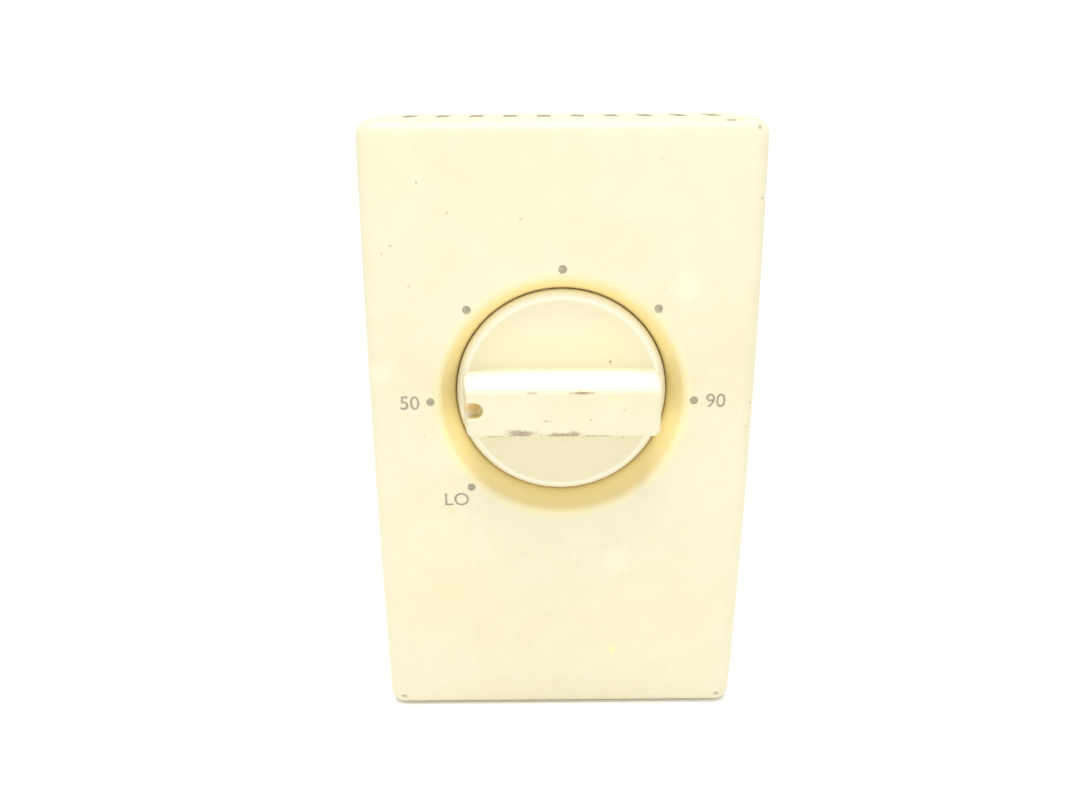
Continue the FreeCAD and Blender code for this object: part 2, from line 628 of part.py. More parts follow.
def cover_screw():
    """Screw up through the bottom wall of the case into the plate's tab."""
    half_h = CASE_H / 2
    head = rod_z(2.9, -half_h + 0.3, -half_h + 2.2, 0, CASE_SCREW_D)
    screw = head.fuse(rod_z(1.45, -half_h + 2.2, -half_h + 9.0, 0, CASE_SCREW_D))
    slot = block(-3.5, 3.5, CASE_SCREW_D - 0.45, CASE_SCREW_D + 0.45, -half_h - 1, -half_h + 1.2)
    return screw.cut(slot).removeSplitter()


def ground_screw():
    """Earth screw in the mounting plate."""
    return front_screw(3.8, 2.2, 2.6, 1.9, 0.1, *GROUND_AT, 1.1)


def ground_washer():
    """Cup washer that holds the earth wire under its screw."""
    cup = rod(4.7, PLATE_T, 2.6, *GROUND_AT).cut(rod(2.1, 1, 3, *GROUND_AT))
    return cup.cut(rod(3.6, 1, 1.9, *GROUND_AT)).removeSplitter()


PIECES = [
    cover, mounting_plate, bracket, bushing, dial_shaft, stop_washer, shaft_clip, knob, knob_clip, range_nut,
    range_spring, main_lever, pivot_pin, pin_clips, calibration_screw, calibration_nut, capsule, capsule_seat,
    seat_rivets, diaphragm_button, fill_tube, switch_body, switch_cover, switch_cover_screws,
    switch_mount_screws, switch_plunger, snap_blade, moving_contact, fixed_contact, blade_spring,
    line_terminal, load_terminal, terminal_clamps, terminal_screws, insulating_liner, cover_screw,
    ground_screw, ground_washer,
]

for build_piece in PIECES:
    piece = build_piece()
    piece.exportStep("parts/" + build_piece.__name__ + ".step")
    print(build_piece.__name__, piece.isValid(), len(piece.Solids), round(piece.Volume, 1))
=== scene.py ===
"""Dresses the wall thermostat: case, knob, dial print and mechanism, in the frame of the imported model.

Metres, X to the viewer's right, Y into the wall, Z up. The wall is y = 0 and the front faces -Y.
"""
import logging
import math
from dataclasses import dataclass, field
from enum import Enum
from typing import Callable, Sequence

import bpy
import bmesh
import numpy as np
from mathutils import Matrix, Vector


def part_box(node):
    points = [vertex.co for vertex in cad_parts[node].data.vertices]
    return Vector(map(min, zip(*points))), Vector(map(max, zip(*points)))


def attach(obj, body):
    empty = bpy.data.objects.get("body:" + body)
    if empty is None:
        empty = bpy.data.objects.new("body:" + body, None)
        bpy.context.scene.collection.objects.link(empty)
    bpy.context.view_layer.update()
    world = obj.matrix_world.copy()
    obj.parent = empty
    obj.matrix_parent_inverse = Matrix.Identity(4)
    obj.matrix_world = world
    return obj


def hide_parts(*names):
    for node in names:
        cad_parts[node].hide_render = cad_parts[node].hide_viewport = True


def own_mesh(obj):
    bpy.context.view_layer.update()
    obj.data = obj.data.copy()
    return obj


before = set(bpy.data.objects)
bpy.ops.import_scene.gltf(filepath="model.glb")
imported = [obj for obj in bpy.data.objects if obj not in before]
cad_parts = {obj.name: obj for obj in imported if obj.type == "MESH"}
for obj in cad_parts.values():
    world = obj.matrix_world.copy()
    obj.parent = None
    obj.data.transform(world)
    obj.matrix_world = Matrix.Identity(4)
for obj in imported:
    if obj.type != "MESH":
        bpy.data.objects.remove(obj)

logging.basicConfig(level=logging.INFO, format="%(name)s: %(message)s")
LOG = logging.getLogger("thermostat")

MM = 0.001
Array = np.ndarray


# ------------------------------------------------------------------ mesh helpers

def corners_of(node: str) -> tuple[Array, Array]:
    """Lowest and highest corner of a CAD node.

    Args:
        node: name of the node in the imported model.

    Returns:
        The two corners as arrays in metres.
    """
    low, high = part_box(node)
    return np.array(low), np.array(high)


def extent_of(node: str) -> tuple[float, float, float]:
    """Back depth, front depth and half width of a CAD node, in metres from the wall."""
    low, high = corners_of(node)
    return float(-high[1]), float(-low[1]), float(high[0] - low[0]) / 2


def grid_faces(rows: int, columns: int, closed: bool, offset: int = 0) -> Array:
    """Quads of a grid of points stored row by row.

    Args:
        rows: number of rows of points.
        columns: number of points in a row.
        closed: whether the last column joins the first.
        offset: index of the grid's first point.

    Returns:
        An array of four point indices per quad.
    """
    quads_across = columns if closed else columns - 1
    row, column = np.meshgrid(np.arange(rows - 1), np.arange(quads_across), indexing="ij")
    after = (column + 1) % columns
    here, there = row * columns, (row + 1) * columns
    corners = (here + column, here + after, there + after, there + column)
    return np.stack([c.ravel() for c in corners], -1) + offset


def full_turn(steps: int) -> Array:
    """Angles of evenly spaced points once round a circle."""
    return np.linspace(0, 2 * math.pi, steps, endpoint=False)


def quarter_turn(steps: int) -> Array:
    """Angles that cut a quarter circle into equal steps, without the first one."""
    return np.linspace(0, math.pi / 2, steps + 1)[1:]


def upright(flat: Array, depth: Array | float, lift: float = 0.0) -> Array:
    """Points x, z stood up at a depth in front of the wall, moved up by lift."""
    return np.stack([flat[..., 0], -depth * np.ones(flat.shape[:-1]), flat[..., 1] + lift], -1)


def tube_faces(rows: int, columns: int) -> list[list[int]]:
    """Quads of a closed row of rings and one face over each end."""
    faces = grid_faces(rows, columns, closed=True).tolist()
    return faces + [list(range(columns)), list(range((rows - 1) * columns, rows * columns))]


def make_object(name: str, points: Array, faces: Sequence[Sequence[int]]) -> bpy.types.Object:
    """Puts points and faces into a new mesh object at the origin.

    Args:
        name: name of the piece.
        points: one row of x, y, z in metres per point.
        faces: point indices of each face.

    Returns:
        The linked object, its doubles merged and its faces pointing outwards.
    """
    mesh = bpy.data.meshes.new(name)
    mesh.from_pydata(np.asarray(points, float).tolist(), [], [list(map(int, f)) for f in faces])
    mesh.update()
    piece = bpy.data.objects.new(name, mesh)
    bpy.context.scene.collection.objects.link(piece)
    work = bmesh.new()
    work.from_mesh(mesh)
    bmesh.ops.remove_doubles(work, verts=work.verts, dist=1e-6)
    bmesh.ops.dissolve_degenerate(work, edges=work.edges, dist=1e-8)
    bmesh.ops.recalc_face_normals(work, faces=work.faces)
    work.to_mesh(mesh)
    work.free()
    mesh.polygons.foreach_set("use_smooth", np.ones(len(mesh.polygons), bool))
    mesh.update()
    return piece


def flip_if_inward(piece: bpy.types.Object, outside: Vector, near: Vector) -> None:
    """Turns an open surface round when the face nearest a point looks away from the outside.

    Args:
        piece: the object to check.
        outside: direction in which that face should look.
        near: a point on the surface.
    """
    mesh = piece.data
    nearest = min(mesh.polygons, key=lambda p: (p.center - near).length)
    if nearest.normal.dot(outside) < 0:
        mesh.flip_normals()


def sharpen(piece: bpy.types.Object, degrees: float = 35.0) -> None:
    """Marks edges sharper than an angle, so that smooth shading stops there."""
    piece.data.set_sharp_from_angle(angle=math.radians(degrees))


def add_bevel(piece: bpy.types.Object, width: float, segments: int = 3, degrees: float = 40.0) -> None:
    """Rounds a piece's sharp edges with a live modifier.

    Args:
        piece: the object to finish.
        width: width of the rounding in metres.
        segments: facets across the rounding.
        degrees: edges flatter than this stay as they are.
    """
    bevel = piece.modifiers.new("edge_round", "BEVEL")
    bevel.width = width
    bevel.segments = segments
    bevel.limit_method = "ANGLE"
    bevel.angle_limit = math.radians(degrees)
    bevel.harden_normals = True


def rounded_outline(half_x: float, half_z: float, radius: float, step: float, corner_steps: int) -> Array:
    """Rounded rectangle as a closed row of points, counter-clockwise from the lower right corner's start.

    Straight sides are cut into equal steps and each corner is a quarter circle about a centre that lies one
    radius in from both sides.

    Args:
        half_x: half width.
        half_z: half height.
        radius: corner radius.
        step: wanted distance between points on the straight sides.
        corner_steps: points round each corner.

    Returns:
        Rows of x, z.
    """
    reach_x = half_x - radius
    reach_z = half_z - radius
    count_x = max(1, round(2 * reach_x / step))
    count_z = max(1, round(2 * reach_z / step))
    along_x = np.linspace(-reach_x, reach_x, count_x + 1)
    along_z = np.linspace(-reach_z, reach_z, count_z + 1)
    turn = np.linspace(0, math.pi / 2, corner_steps + 1)[1:-1]
    pieces = []
    bottom = np.stack([along_x, np.full(count_x + 1, -half_z)], -1)
    pieces.append(bottom)
    pieces.append(np.stack([reach_x + radius * np.sin(turn), -reach_z - radius * np.cos(turn)], -1))
    pieces.append(np.stack([np.full(count_z + 1, half_x), along_z], -1))
    pieces.append(np.stack([reach_x + radius * np.cos(turn), reach_z + radius * np.sin(turn)], -1))
    pieces.append(np.stack([along_x[::-1], np.full(count_x + 1, half_z)], -1))
    pieces.append(np.stack([-reach_x - radius * np.sin(turn), reach_z + radius * np.cos(turn)], -1))
    pieces.append(np.stack([np.full(count_z + 1, -half_x), along_z[::-1]], -1))
    pieces.append(np.stack([-reach_x - radius * np.cos(turn), -reach_z - radius * np.sin(turn)], -1))
    return np.concatenate(pieces)


def lathe(name: str, profile: Sequence[tuple[float, float]], centre: Array, axis: "Axis",
          steps: int = 64) -> bpy.types.Object:
    """Closed surface of revolution: each profile point (radius, distance) runs round a circle about the axis.

    The point at angle a is centre + distance * axis + radius * (cos a * side + sin a * other side). Profile
    points of zero radius close the ends; a profile that doesn't start and end there closes on itself.

    Args:
        name: name of the piece.
        profile: radius and distance along the axis of each profile point, in metres.
        centre: point on the axis where distance is zero.
        axis: direction of the axis.
        steps: points round the circle.

    Returns:
        The new object.
    """
    rings = np.array(profile, float)
    open_ended = rings[0, 0] < 1e-9 and rings[-1, 0] < 1e-9
    if not open_ended:
        rings = np.concatenate([rings, rings[:1]])
    turn = full_turn(steps)
    along, side, other = axis.frame()
    circle = np.cos(turn)[:, None] * side + np.sin(turn)[:, None] * other
    points = centre + rings[:, 1, None, None] * along + rings[:, 0, None, None] * circle[None]
    faces = grid_faces(len(rings), steps, closed=True)
    return make_object(name, points.reshape(-1, 3), faces)


class Axis(Enum):
    """Directions that turned pieces stand along."""

    OUT = "out of the wall"
    UP = "up"

    def frame(self) -> tuple[Array, Array, Array]:
        """The direction and two directions square to it, as unit vectors."""
        right, up, out = np.array([1.0, 0, 0]), np.array([0, 0, 1.0]), np.array([0, -1.0, 0])
        return (out, right, up) if self is Axis.OUT else (up, right, -out)


def block_piece(name: str, low: Array, high: Array, round_edges: float) -> bpy.types.Object:
    """Small rectangular block with rounded edges.

    Args:
        name: name of the piece.
        low: lowest corner in metres.
        high: highest corner in metres.
        round_edges: width of the edge rounding.

    Returns:
        The new object.
    """
    choice = np.array([[i >> 2 & 1, i >> 1 & 1, i & 1] for i in range(8)])
    points = np.where(choice == 1, high, low)
    faces = [(0, 1, 3, 2), (4, 6, 7, 5), (0, 4, 5, 1), (2, 3, 7, 6), (0, 2, 6, 4), (1, 5, 7, 3)]
    piece = make_object(name, points, faces)
    add_bevel(piece, round_edges, 2)
    return piece


def finish_piece(piece: bpy.types.Object, body: str, finish: bpy.types.Material,
                 replaced: Sequence[str] = ()) -> None:
    """Gives a piece its material, body and slot, and sets it in place of CAD nodes.

    Args:
        piece: the finished piece.
        body: CAD body that it rides on.
        finish: its material.
        replaced: CAD nodes it stands for.
    """
    piece.data.materials.clear()
    piece.data.materials.append(finish)
    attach(piece, body)
    if replaced:
        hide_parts(*replaced)
    LOG.info("%s: %d points", piece.name, len(piece.data.vertices))


# ------------------------------------------------------------------ node helpers

class Graph:
    """Short names for adding nodes to one node tree."""

    def __init__(self, tree: bpy.types.NodeTree) -> None:
        """Starts with an empty tree.

        Args:
            tree: the tree to fill.
        """
        self.tree = tree
        tree.nodes.clear()

    def add(self, kind: str, settings: dict | None = None, **inputs: object) -> bpy.types.Node:
        """Adds a node and fills its inputs.

        Args:
            kind: node type without its ShaderNode prefix.
            settings: properties of the node, such as its operation.
            **inputs: values or sockets by input name, with underscores for spaces.

        Returns:
            The new node.
        """
        node = self.tree.nodes.new(kind if kind.startswith("Node") else "ShaderNode" + kind)
        for key, value in (settings or {}).items():
            setattr(node, key, value)
        for key, value in inputs.items():
            self.put(node, key.replace("_", " "), value)
        return node

    def put(self, node: bpy.types.Node, key: str | int, value: object) -> None:
        """Links a socket to an input, or sets its value."""
        if isinstance(value, bpy.types.NodeSocket):
            self.tree.links.new(value, node.inputs[key])
        else:
            node.inputs[key].default_value = value

    def math(self, operation: str, a: object, b: object = 0.5, clamp: bool = False) -> bpy.types.NodeSocket:
        """Result of one arithmetic step on two values or sockets."""
        node = self.add("Math", {"operation": operation, "use_clamp": clamp})
        self.put(node, 0, a)
        if len(node.inputs) > 1:
            self.put(node, 1, b)
        return node.outputs[0]

    def times(self, a: object, b: object) -> bpy.types.NodeSocket:
        """Product of two values or sockets."""
        return self.math("MULTIPLY", a, b)

    def plus(self, a: object, b: object, clamp: bool = False) -> bpy.types.NodeSocket:
        """Sum of two values or sockets."""
        return self.math("ADD", a, b, clamp)

    def minus(self, a: object, b: object, clamp: bool = False) -> bpy.types.NodeSocket:
        """Difference of two values or sockets."""
        return self.math("SUBTRACT", a, b, clamp)

    def most(self, a: object, b: object) -> bpy.types.NodeSocket:
        """Larger of two values or sockets."""
        return self.math("MAXIMUM", a, b)

    def mix(self, factor: object, a: object, b: object) -> bpy.types.NodeSocket:
        """Colour between a and b by a factor."""
        node = self.add("Mix", {"data_type": "RGBA", "clamp_factor": True})
        self.put(node, 0, factor)
        self.put(node, 6, a)
        self.put(node, 7, b)
        return node.outputs[2]

    def remap(self, value: object, low: float, high: float, to_low: float = 0.0, to_high: float = 1.0,
              smooth: bool = True) -> bpy.types.NodeSocket:
        """Value moved from one range to another and kept inside it."""
        kind = "SMOOTHSTEP" if smooth else "LINEAR"
        node = self.add("MapRange", {"interpolation_type": kind, "clamp": True}, Value=value, From_Min=low,
                        From_Max=high, To_Min=to_low, To_Max=to_high)
        return node.outputs[0]

    def bump(self, shader: bpy.types.Node, height: object, strength: float, distance: float) -> None:
        """Feeds a height in metres times distance into the shader's normal."""
        node = self.add("Bump", None, Strength=strength, Distance=distance)
        self.put(node, "Height", height)
        self.put(shader, "Normal", node.outputs[0])

    def noise(self, vector: object, scale: float, detail: float = 3.0, roughness: float = 0.55,
              distortion: float = 0.0) -> bpy.types.NodeSocket:
        """Fractal noise from 0 to 1 at so many features per metre."""
        node = self.add("TexNoise", {"noise_dimensions": "3D"}, Scale=scale, Detail=detail,
                        Roughness=roughness, Distortion=distortion, Vector=vector)
        return node.outputs["Fac"]

    def stretched(self, vector: object, stretch: tuple[float, float, float],
                  turn: tuple[float, float, float] = (0.0, 0.0, 0.0)) -> bpy.types.NodeSocket:
        """Coordinates turned and scaled separately along each axis."""
        node = self.add("Mapping", {"vector_type": "POINT"})
        self.put(node, "Vector", vector)
        self.put(node, "Scale", stretch)
        self.put(node, "Rotation", turn)
        return node.outputs[0]


class Effect:
    """A node group that several finishes share: built once, then placed with its own values."""

    made: dict[str, bpy.types.NodeTree] = {}

    @classmethod
    def place(cls, graph: Graph, name: str,
              build: Callable[[Graph, bpy.types.Node, bpy.types.Node], None], inputs: dict[str, float],
              outputs: Sequence[str], vector: object, **values: object) -> bpy.types.Node:
        """Places the group in a material, building it the first time.

        Args:
            graph: the material's graph.
            name: name of the group.
            build: fills the group from its input and output nodes.
            inputs: float inputs and their defaults.
            outputs: float outputs.
            vector: object coordinates to read.
            **values: input values of this use.

        Returns:
            The group node.
        """
        if name not in cls.made:
            tree = bpy.data.node_groups.new(name, "ShaderNodeTree")
            tree.interface.new_socket("Vector", in_out="INPUT", socket_type="NodeSocketVector")
            for key, default in inputs.items():
                socket = tree.interface.new_socket(key, in_out="INPUT", socket_type="NodeSocketFloat")
                socket.default_value = default
            for key in outputs:
                tree.interface.new_socket(key, in_out="OUTPUT", socket_type="NodeSocketFloat")
            inner = Graph(tree)
            build(inner, inner.add("NodeGroupInput"), inner.add("NodeGroupOutput"))
            cls.made[name] = tree
        node = graph.tree.nodes.new("ShaderNodeGroup")
        node.node_tree = cls.made[name]
        graph.put(node, "Vector", vector)
        for key, value in values.items():
            graph.put(node, key.replace("_", " "), value)
        return node


def build_mottle(inner: Graph, given: bpy.types.Node, result: bpy.types.Node) -> None:
    """Cloudy ageing of a moulding: broad patches, small blotches and scattered specks."""
    vector = given.outputs["Vector"]
    broad = inner.noise(vector, 38.0, 3.0, 0.55, 0.6)
    small = inner.noise(vector, 210.0, 4.0, 0.6, 0.3)
    cells = inner.add("TexVoronoi", {"feature": "F1"}, Scale=330.0)
    inner.put(cells, "Vector", vector)
    chosen = inner.math("GREATER_THAN", inner.noise(vector, 95.0, 2.0), 0.62)
    dot = inner.remap(cells.outputs["Distance"], 0.04, 0.11, 1.0, 0.0)
    inner.put(result, "Broad", inner.remap(broad, 0.32, 0.70))
    inner.put(result, "Small", inner.remap(small, 0.38, 0.68))
    inner.put(result, "Specks", inner.times(inner.times(dot, chosen), given.outputs["Speckle"]))


def build_scuffs(inner: Graph, given: bpy.types.Node, result: bpy.types.Node) -> None:
    """Fine scratches: three sets of long thin noise streaks at different angles, thinned out broadly."""
    vector = given.outputs["Vector"]
    total: object = 0.0
    for turn, patch in ((0.35, 61.0), (-0.8, 47.0), (1.35, 83.0)):
        along = inner.stretched(vector, (1.0, 1.0, 0.045), (0.0, turn, 0.0))
        streak = inner.remap(inner.noise(along, 2600.0, 1.0, 0.4), 0.66, 0.72)
        turned = inner.stretched(vector, (1.0, 1.0, 1.0), (turn, 0.0, 0.0))
        where = inner.remap(inner.noise(turned, patch, 2.0), 0.54, 0.66)
        total = inner.most(inner.times(streak, where), total)
    inner.put(result, "Mask", inner.times(total, given.outputs["Amount"]))


def build_grain(inner: Graph, given: bpy.types.Node, result: bpy.types.Node) -> None:
    """Very fine surface texture: the pebble of a mould plus slight waviness."""
    vector = given.outputs["Vector"]
    pebble = inner.noise(vector, 3800.0, 2.0, 0.5)
    waves = inner.noise(vector, 120.0, 2.0, 0.5)
    inner.put(result, "Height", inner.plus(inner.times(pebble, given.outputs["Fine"]),
                                           inner.times(waves, given.outputs["Wave"])))


def build_crevice(inner: Graph, given: bpy.types.Node, result: bpy.types.Node) -> None:
    """Darkening where surfaces meet, from occlusion within a few millimetres and broken up by noise: soiling
    in the gaps and painted shade together.
    """
    occlusion = inner.add("AmbientOcclusion", {"samples": 8})
    inner.put(occlusion, "Distance", given.outputs["Reach"])
    shade = inner.minus(1.0, occlusion.outputs["AO"])
    broken = inner.remap(inner.noise(given.outputs["Vector"], 420.0, 4.0, 0.6, 0.4), 0.25, 0.75, 0.55, 1.0)
    inner.put(result, "Mask", inner.remap(inner.times(shade, broken), 0.12, 0.85))


def build_edges(inner: Graph, given: bpy.types.Node, result: bpy.types.Node) -> None:
    """Rubbed edges: where the normal averaged over a small radius leans away from the true normal."""
    soft = inner.add("Bevel", {"samples": 4})
    inner.put(soft, "Radius", given.outputs["Radius"])
    plain = inner.add("NewGeometry")
    lean = inner.add("VectorMath", {"operation": "DOT_PRODUCT"})
    inner.put(lean, 0, soft.outputs[0])
    inner.put(lean, 1, plain.outputs["Normal"])
    bend = inner.minus(1.0, lean.outputs["Value"])
    broken = inner.remap(inner.noise(given.outputs["Vector"], 900.0, 3.0, 0.6), 0.3, 0.7, 0.35, 1.0)
    inner.put(result, "Mask", inner.times(inner.remap(bend, 0.02, 0.16), broken))


def mottle(graph: Graph, vector: object, speckle: float) -> bpy.types.Node:
    """Places the cloudy ageing group."""
    return Effect.place(graph, "aged_mottle", build_mottle, {"Speckle": 1.0}, ("Broad", "Small", "Specks"),
                        vector, Speckle=speckle)


def scuffs(graph: Graph, vector: object, amount: float) -> bpy.types.NodeSocket:
    """Places the scratch group and gives its mask."""
    return Effect.place(graph, "fine_scuffs", build_scuffs, {"Amount": 1.0}, ("Mask",), vector,
                        Amount=amount).outputs["Mask"]


def grain(graph: Graph, vector: object, fine: float, wave: float) -> bpy.types.NodeSocket:
    """Places the surface texture group and gives its height."""
    return Effect.place(graph, "mould_grain", build_grain, {"Fine": 1.0, "Wave": 1.0}, ("Height",), vector,
                        Fine=fine, Wave=wave).outputs["Height"]


def crevice(graph: Graph, vector: object, reach: float) -> bpy.types.NodeSocket:
    """Places the crevice group, soiling and painted shade together, and gives its mask."""
    return Effect.place(graph, "crevice_grime_and_shade", build_crevice, {"Reach": 0.002}, ("Mask",), vector,
                        Reach=reach).outputs["Mask"]


def rubbed_edges(graph: Graph, vector: object, radius: float) -> bpy.types.NodeSocket:
    """Places the rubbed edge group and gives its mask."""
    return Effect.place(graph, "rubbed_edges", build_edges, {"Radius": 0.0003}, ("Mask",), vector,
                        Radius=radius).outputs["Mask"]


def start_material(name: str) -> tuple[bpy.types.Material, Graph, bpy.types.Node, bpy.types.NodeSocket]:
    """New material with its shader and output joined.

    Args:
        name: name of the material.

    Returns:
        The material, its graph, its Principled shader and the object coordinates.
    """
    material = bpy.data.materials.new(name)
    material.use_nodes = True
    graph = Graph(material.node_tree)
    output = graph.add("OutputMaterial")
    shader = graph.add("BsdfPrincipled")
    graph.put(output, "Surface", shader.outputs[0])
    return material, graph, shader, graph.add("TexCoord").outputs["Object"]


Colour = tuple[float, float, float]


def rgba(colour: Colour) -> tuple[float, float, float, float]:
    """Colour with full alpha."""
    return (*colour, 1.0)


@dataclass(frozen=True)
class Mark:
    """One stain, worn place, speck or patch of painted shade on the front of the case or knob."""

    x: float
    z: float
    radius: float
    strength: float
    stretch: float = 1.0

    def mask(self, graph: Graph, x: object, z: object, ragged: object) -> bpy.types.NodeSocket:
        """Soft spot round the mark's place, its rim pushed in and out by noise.

        Args:
            graph: the material's graph.
            x: coordinate across the case.
            z: coordinate up the case.
            ragged: noise value that breaks the rim.

        Returns:
            The mask, from 0 to the mark's strength.
        """
        beside = graph.times(graph.minus(x, self.x), 1.0 / self.stretch)
        across = graph.math("POWER", graph.math("ABSOLUTE", beside), 2.0)
        upward = graph.math("POWER", graph.math("ABSOLUTE", graph.minus(z, self.z)), 2.0)
        distance = graph.math("SQRT", graph.plus(across, upward))
        pushed = graph.times(distance, graph.remap(ragged, 0.2, 0.8, 0.55, 1.6))
        return graph.remap(pushed, self.radius * 0.25, self.radius, self.strength, 0.0)


@dataclass(frozen=True)
class IvoryFinish:
    """Aged ivory moulding: warm mottling, soiling and painted shade in the gaps, worn pale edges, specks and
    a few stains, a ring round the well of yellowing and painted shade, and painted light on the knob's rim,
    grip flank and disc.
    """

    name: str
    base: Colour = (0.640, 0.598, 0.418)
    warm: Colour = (0.625, 0.560, 0.360)
    pale: Colour = (0.70, 0.665, 0.515)
    yellow_stain_and_shade: Colour = (0.90, 0.72, 0.30)
    grime_and_shade: Colour = (0.40, 0.22, 0.05)
    disc_light_colour: Colour = (0.705, 0.655, 0.455)
    disc_light_depth: float = 0.0
    pale_rub_and_light: Colour = (0.84, 0.82, 0.69)
    painted_rim_radius: float = 0.0
    flank: tuple[float, float] = (0.0, 0.0)
    soiled_and_shaded: tuple[Mark, ...] = ()
    speck: Colour = (0.16, 0.08, 0.03)
    halo_inner: float = 0.0
    halo_outer: float = 0.0
    halo_strength: float = 0.0
    roughness: float = 0.38
    crevice_reach: float = 0.004
    crevice_strength: float = 0.8
    stains: tuple[Mark, ...] = ()
    rubs: tuple[Mark, ...] = ()
    spots: tuple[Mark, ...] = ()

    def spread(self, graph: Graph, marks: Sequence[Mark], x: object, z: object, ragged: object) -> object:
        """Strongest of several marks at each point."""
        total: object = 0.0
        for mark in marks:
            total = graph.most(mark.mask(graph, x, z, ragged), total)
        return total

    def from_dial(self, graph: Graph, x: object, z: object) -> bpy.types.NodeSocket:
        """Distance from the dial's axis."""
        lift = graph.minus(z, DIAL_Z)
        square = graph.plus(graph.times(x, x), graph.times(lift, lift))
        return graph.math("SQRT", square)

    def rim(self, graph: Graph, x: object, z: object) -> object:
        """Painted highlight: paler band on the knob's rounded rim, where light catches it."""
        if self.painted_rim_radius <= 0.0:
            return 0.0
        return graph.remap(self.from_dial(graph, x, z), self.painted_rim_radius, self.painted_rim_radius + 0.0007)

    def painted_flank_light(self, graph: Graph, y: object, z: object) -> object:
        """Painted light: paler upper side of the grip, which faces the light from above, between the two
        depths of flank.
        """
        back, front = self.flank
        if front <= 0.0:
            return 0.0
        behind = graph.remap(y, -front, -front + 0.0004)
        ahead = graph.remap(y, -back - 0.0003, -back, 1.0, 0.0)
        above = graph.remap(z, DIAL_Z + 0.0030, DIAL_Z + 0.0040)
        return graph.times(graph.times(behind, ahead), above)

    def halo(self, graph: Graph, x: object, z: object, ragged: object) -> object:
        """Yellow-brown ring round the well, strongest beside the knob and fading outwards: yellowing of the
        plastic and painted shade from the knob and the well together.
        """
        if self.halo_outer <= 0.0:
            return 0.0
        wander = graph.remap(ragged, 0.25, 0.75, -0.0004, 0.0004, False)
        distance = graph.plus(self.from_dial(graph, x, z), wander)
        return graph.remap(distance, self.halo_inner, self.halo_outer, self.halo_strength, 0.0)

    def build(self) -> bpy.types.Material:
        """Makes the material."""
        material, graph, shader, place = start_material(self.name)
        split = graph.add("SeparateXYZ")
        graph.put(split, 0, place)
        x, z = split.outputs["X"], split.outputs["Z"]
        age = mottle(graph, place, 1.0)
        ragged = graph.noise(place, 700.0, 3.0, 0.6)
        colour = graph.mix(graph.times(age.outputs["Broad"], 0.55), rgba(self.base), rgba(self.warm))
        colour = graph.mix(graph.times(age.outputs["Small"], 0.22), colour, rgba(self.pale))
        worn = rubbed_edges(graph, place, 0.0006)
        colour = graph.mix(graph.times(worn, 0.5), colour, rgba(self.pale))
        scratch = scuffs(graph, place, 1.0)
        colour = graph.mix(graph.times(scratch, 0.35), colour, rgba(self.pale))
        # Painted light: the disc behind the grip is made paler than the grip.
        if self.disc_light_depth > 0.0:
            behind_grip = graph.remap(split.outputs["Y"], -self.disc_light_depth - 0.003, -self.disc_light_depth)
            colour = graph.mix(behind_grip, colour, rgba(self.disc_light_colour))
        # Painted highlight on the rim and painted light on the upper flank, together with real worn places,
        # all turned pale.
        painted_rim_and_flank_light = graph.most(self.rim(graph, x, z), self.painted_flank_light(graph, split.outputs["Y"], z))
        rubs_and_painted_light = graph.most(self.spread(graph, self.rubs, x, z, ragged), painted_rim_and_flank_light)
        colour = graph.mix(rubs_and_painted_light, colour, rgba(self.pale_rub_and_light))
        # Painted shade round the well together with yellowing and real stains, all turned yellow-brown.
        stained_and_shaded = graph.most(self.halo(graph, x, z, ragged), self.spread(graph, self.stains, x, z, ragged))
        # Crevice mask from occlusion: soiling and painted shade in the gaps, turned yellow here and dark
        # brown below.
        dirt_and_shade = graph.times(crevice(graph, place, self.crevice_reach), self.crevice_strength)
        colour = graph.mix(graph.most(stained_and_shaded, dirt_and_shade), colour, rgba(self.yellow_stain_and_shade))
        # Dark brown from the strongest crevice shade and the notch's dark spot: soiling and painted shade
        # together.
        soot_and_shade = graph.most(graph.times(dirt_and_shade, dirt_and_shade),
                          self.spread(graph, self.soiled_and_shaded, x, z, ragged))
        colour = graph.mix(soot_and_shade, colour, rgba(self.grime_and_shade))
        flecks = graph.remap(graph.noise(place, 8000.0, 3.0, 0.7), 0.43, 0.51, 0.1, 1.0)
        dark = graph.most(graph.times(age.outputs["Specks"], 0.35),
                          graph.times(flecks, self.spread(graph, self.spots, x, z, ragged)))
        colour = graph.mix(dark, colour, rgba(self.speck))
        graph.put(shader, "Base Color", colour)
        rough = graph.plus(graph.times(age.outputs["Small"], 0.10), self.roughness)
        rough = graph.plus(rough, graph.times(scratch, 0.2))
        graph.put(shader, "Roughness", graph.plus(rough, graph.times(dirt_and_shade, 0.25), True))
        height = graph.minus(grain(graph, place, 0.35, 0.8), graph.times(scratch, 0.5))
        graph.bump(shader, height, 0.35, 0.0001)
        shader.inputs["IOR"].default_value = 1.5
        return material


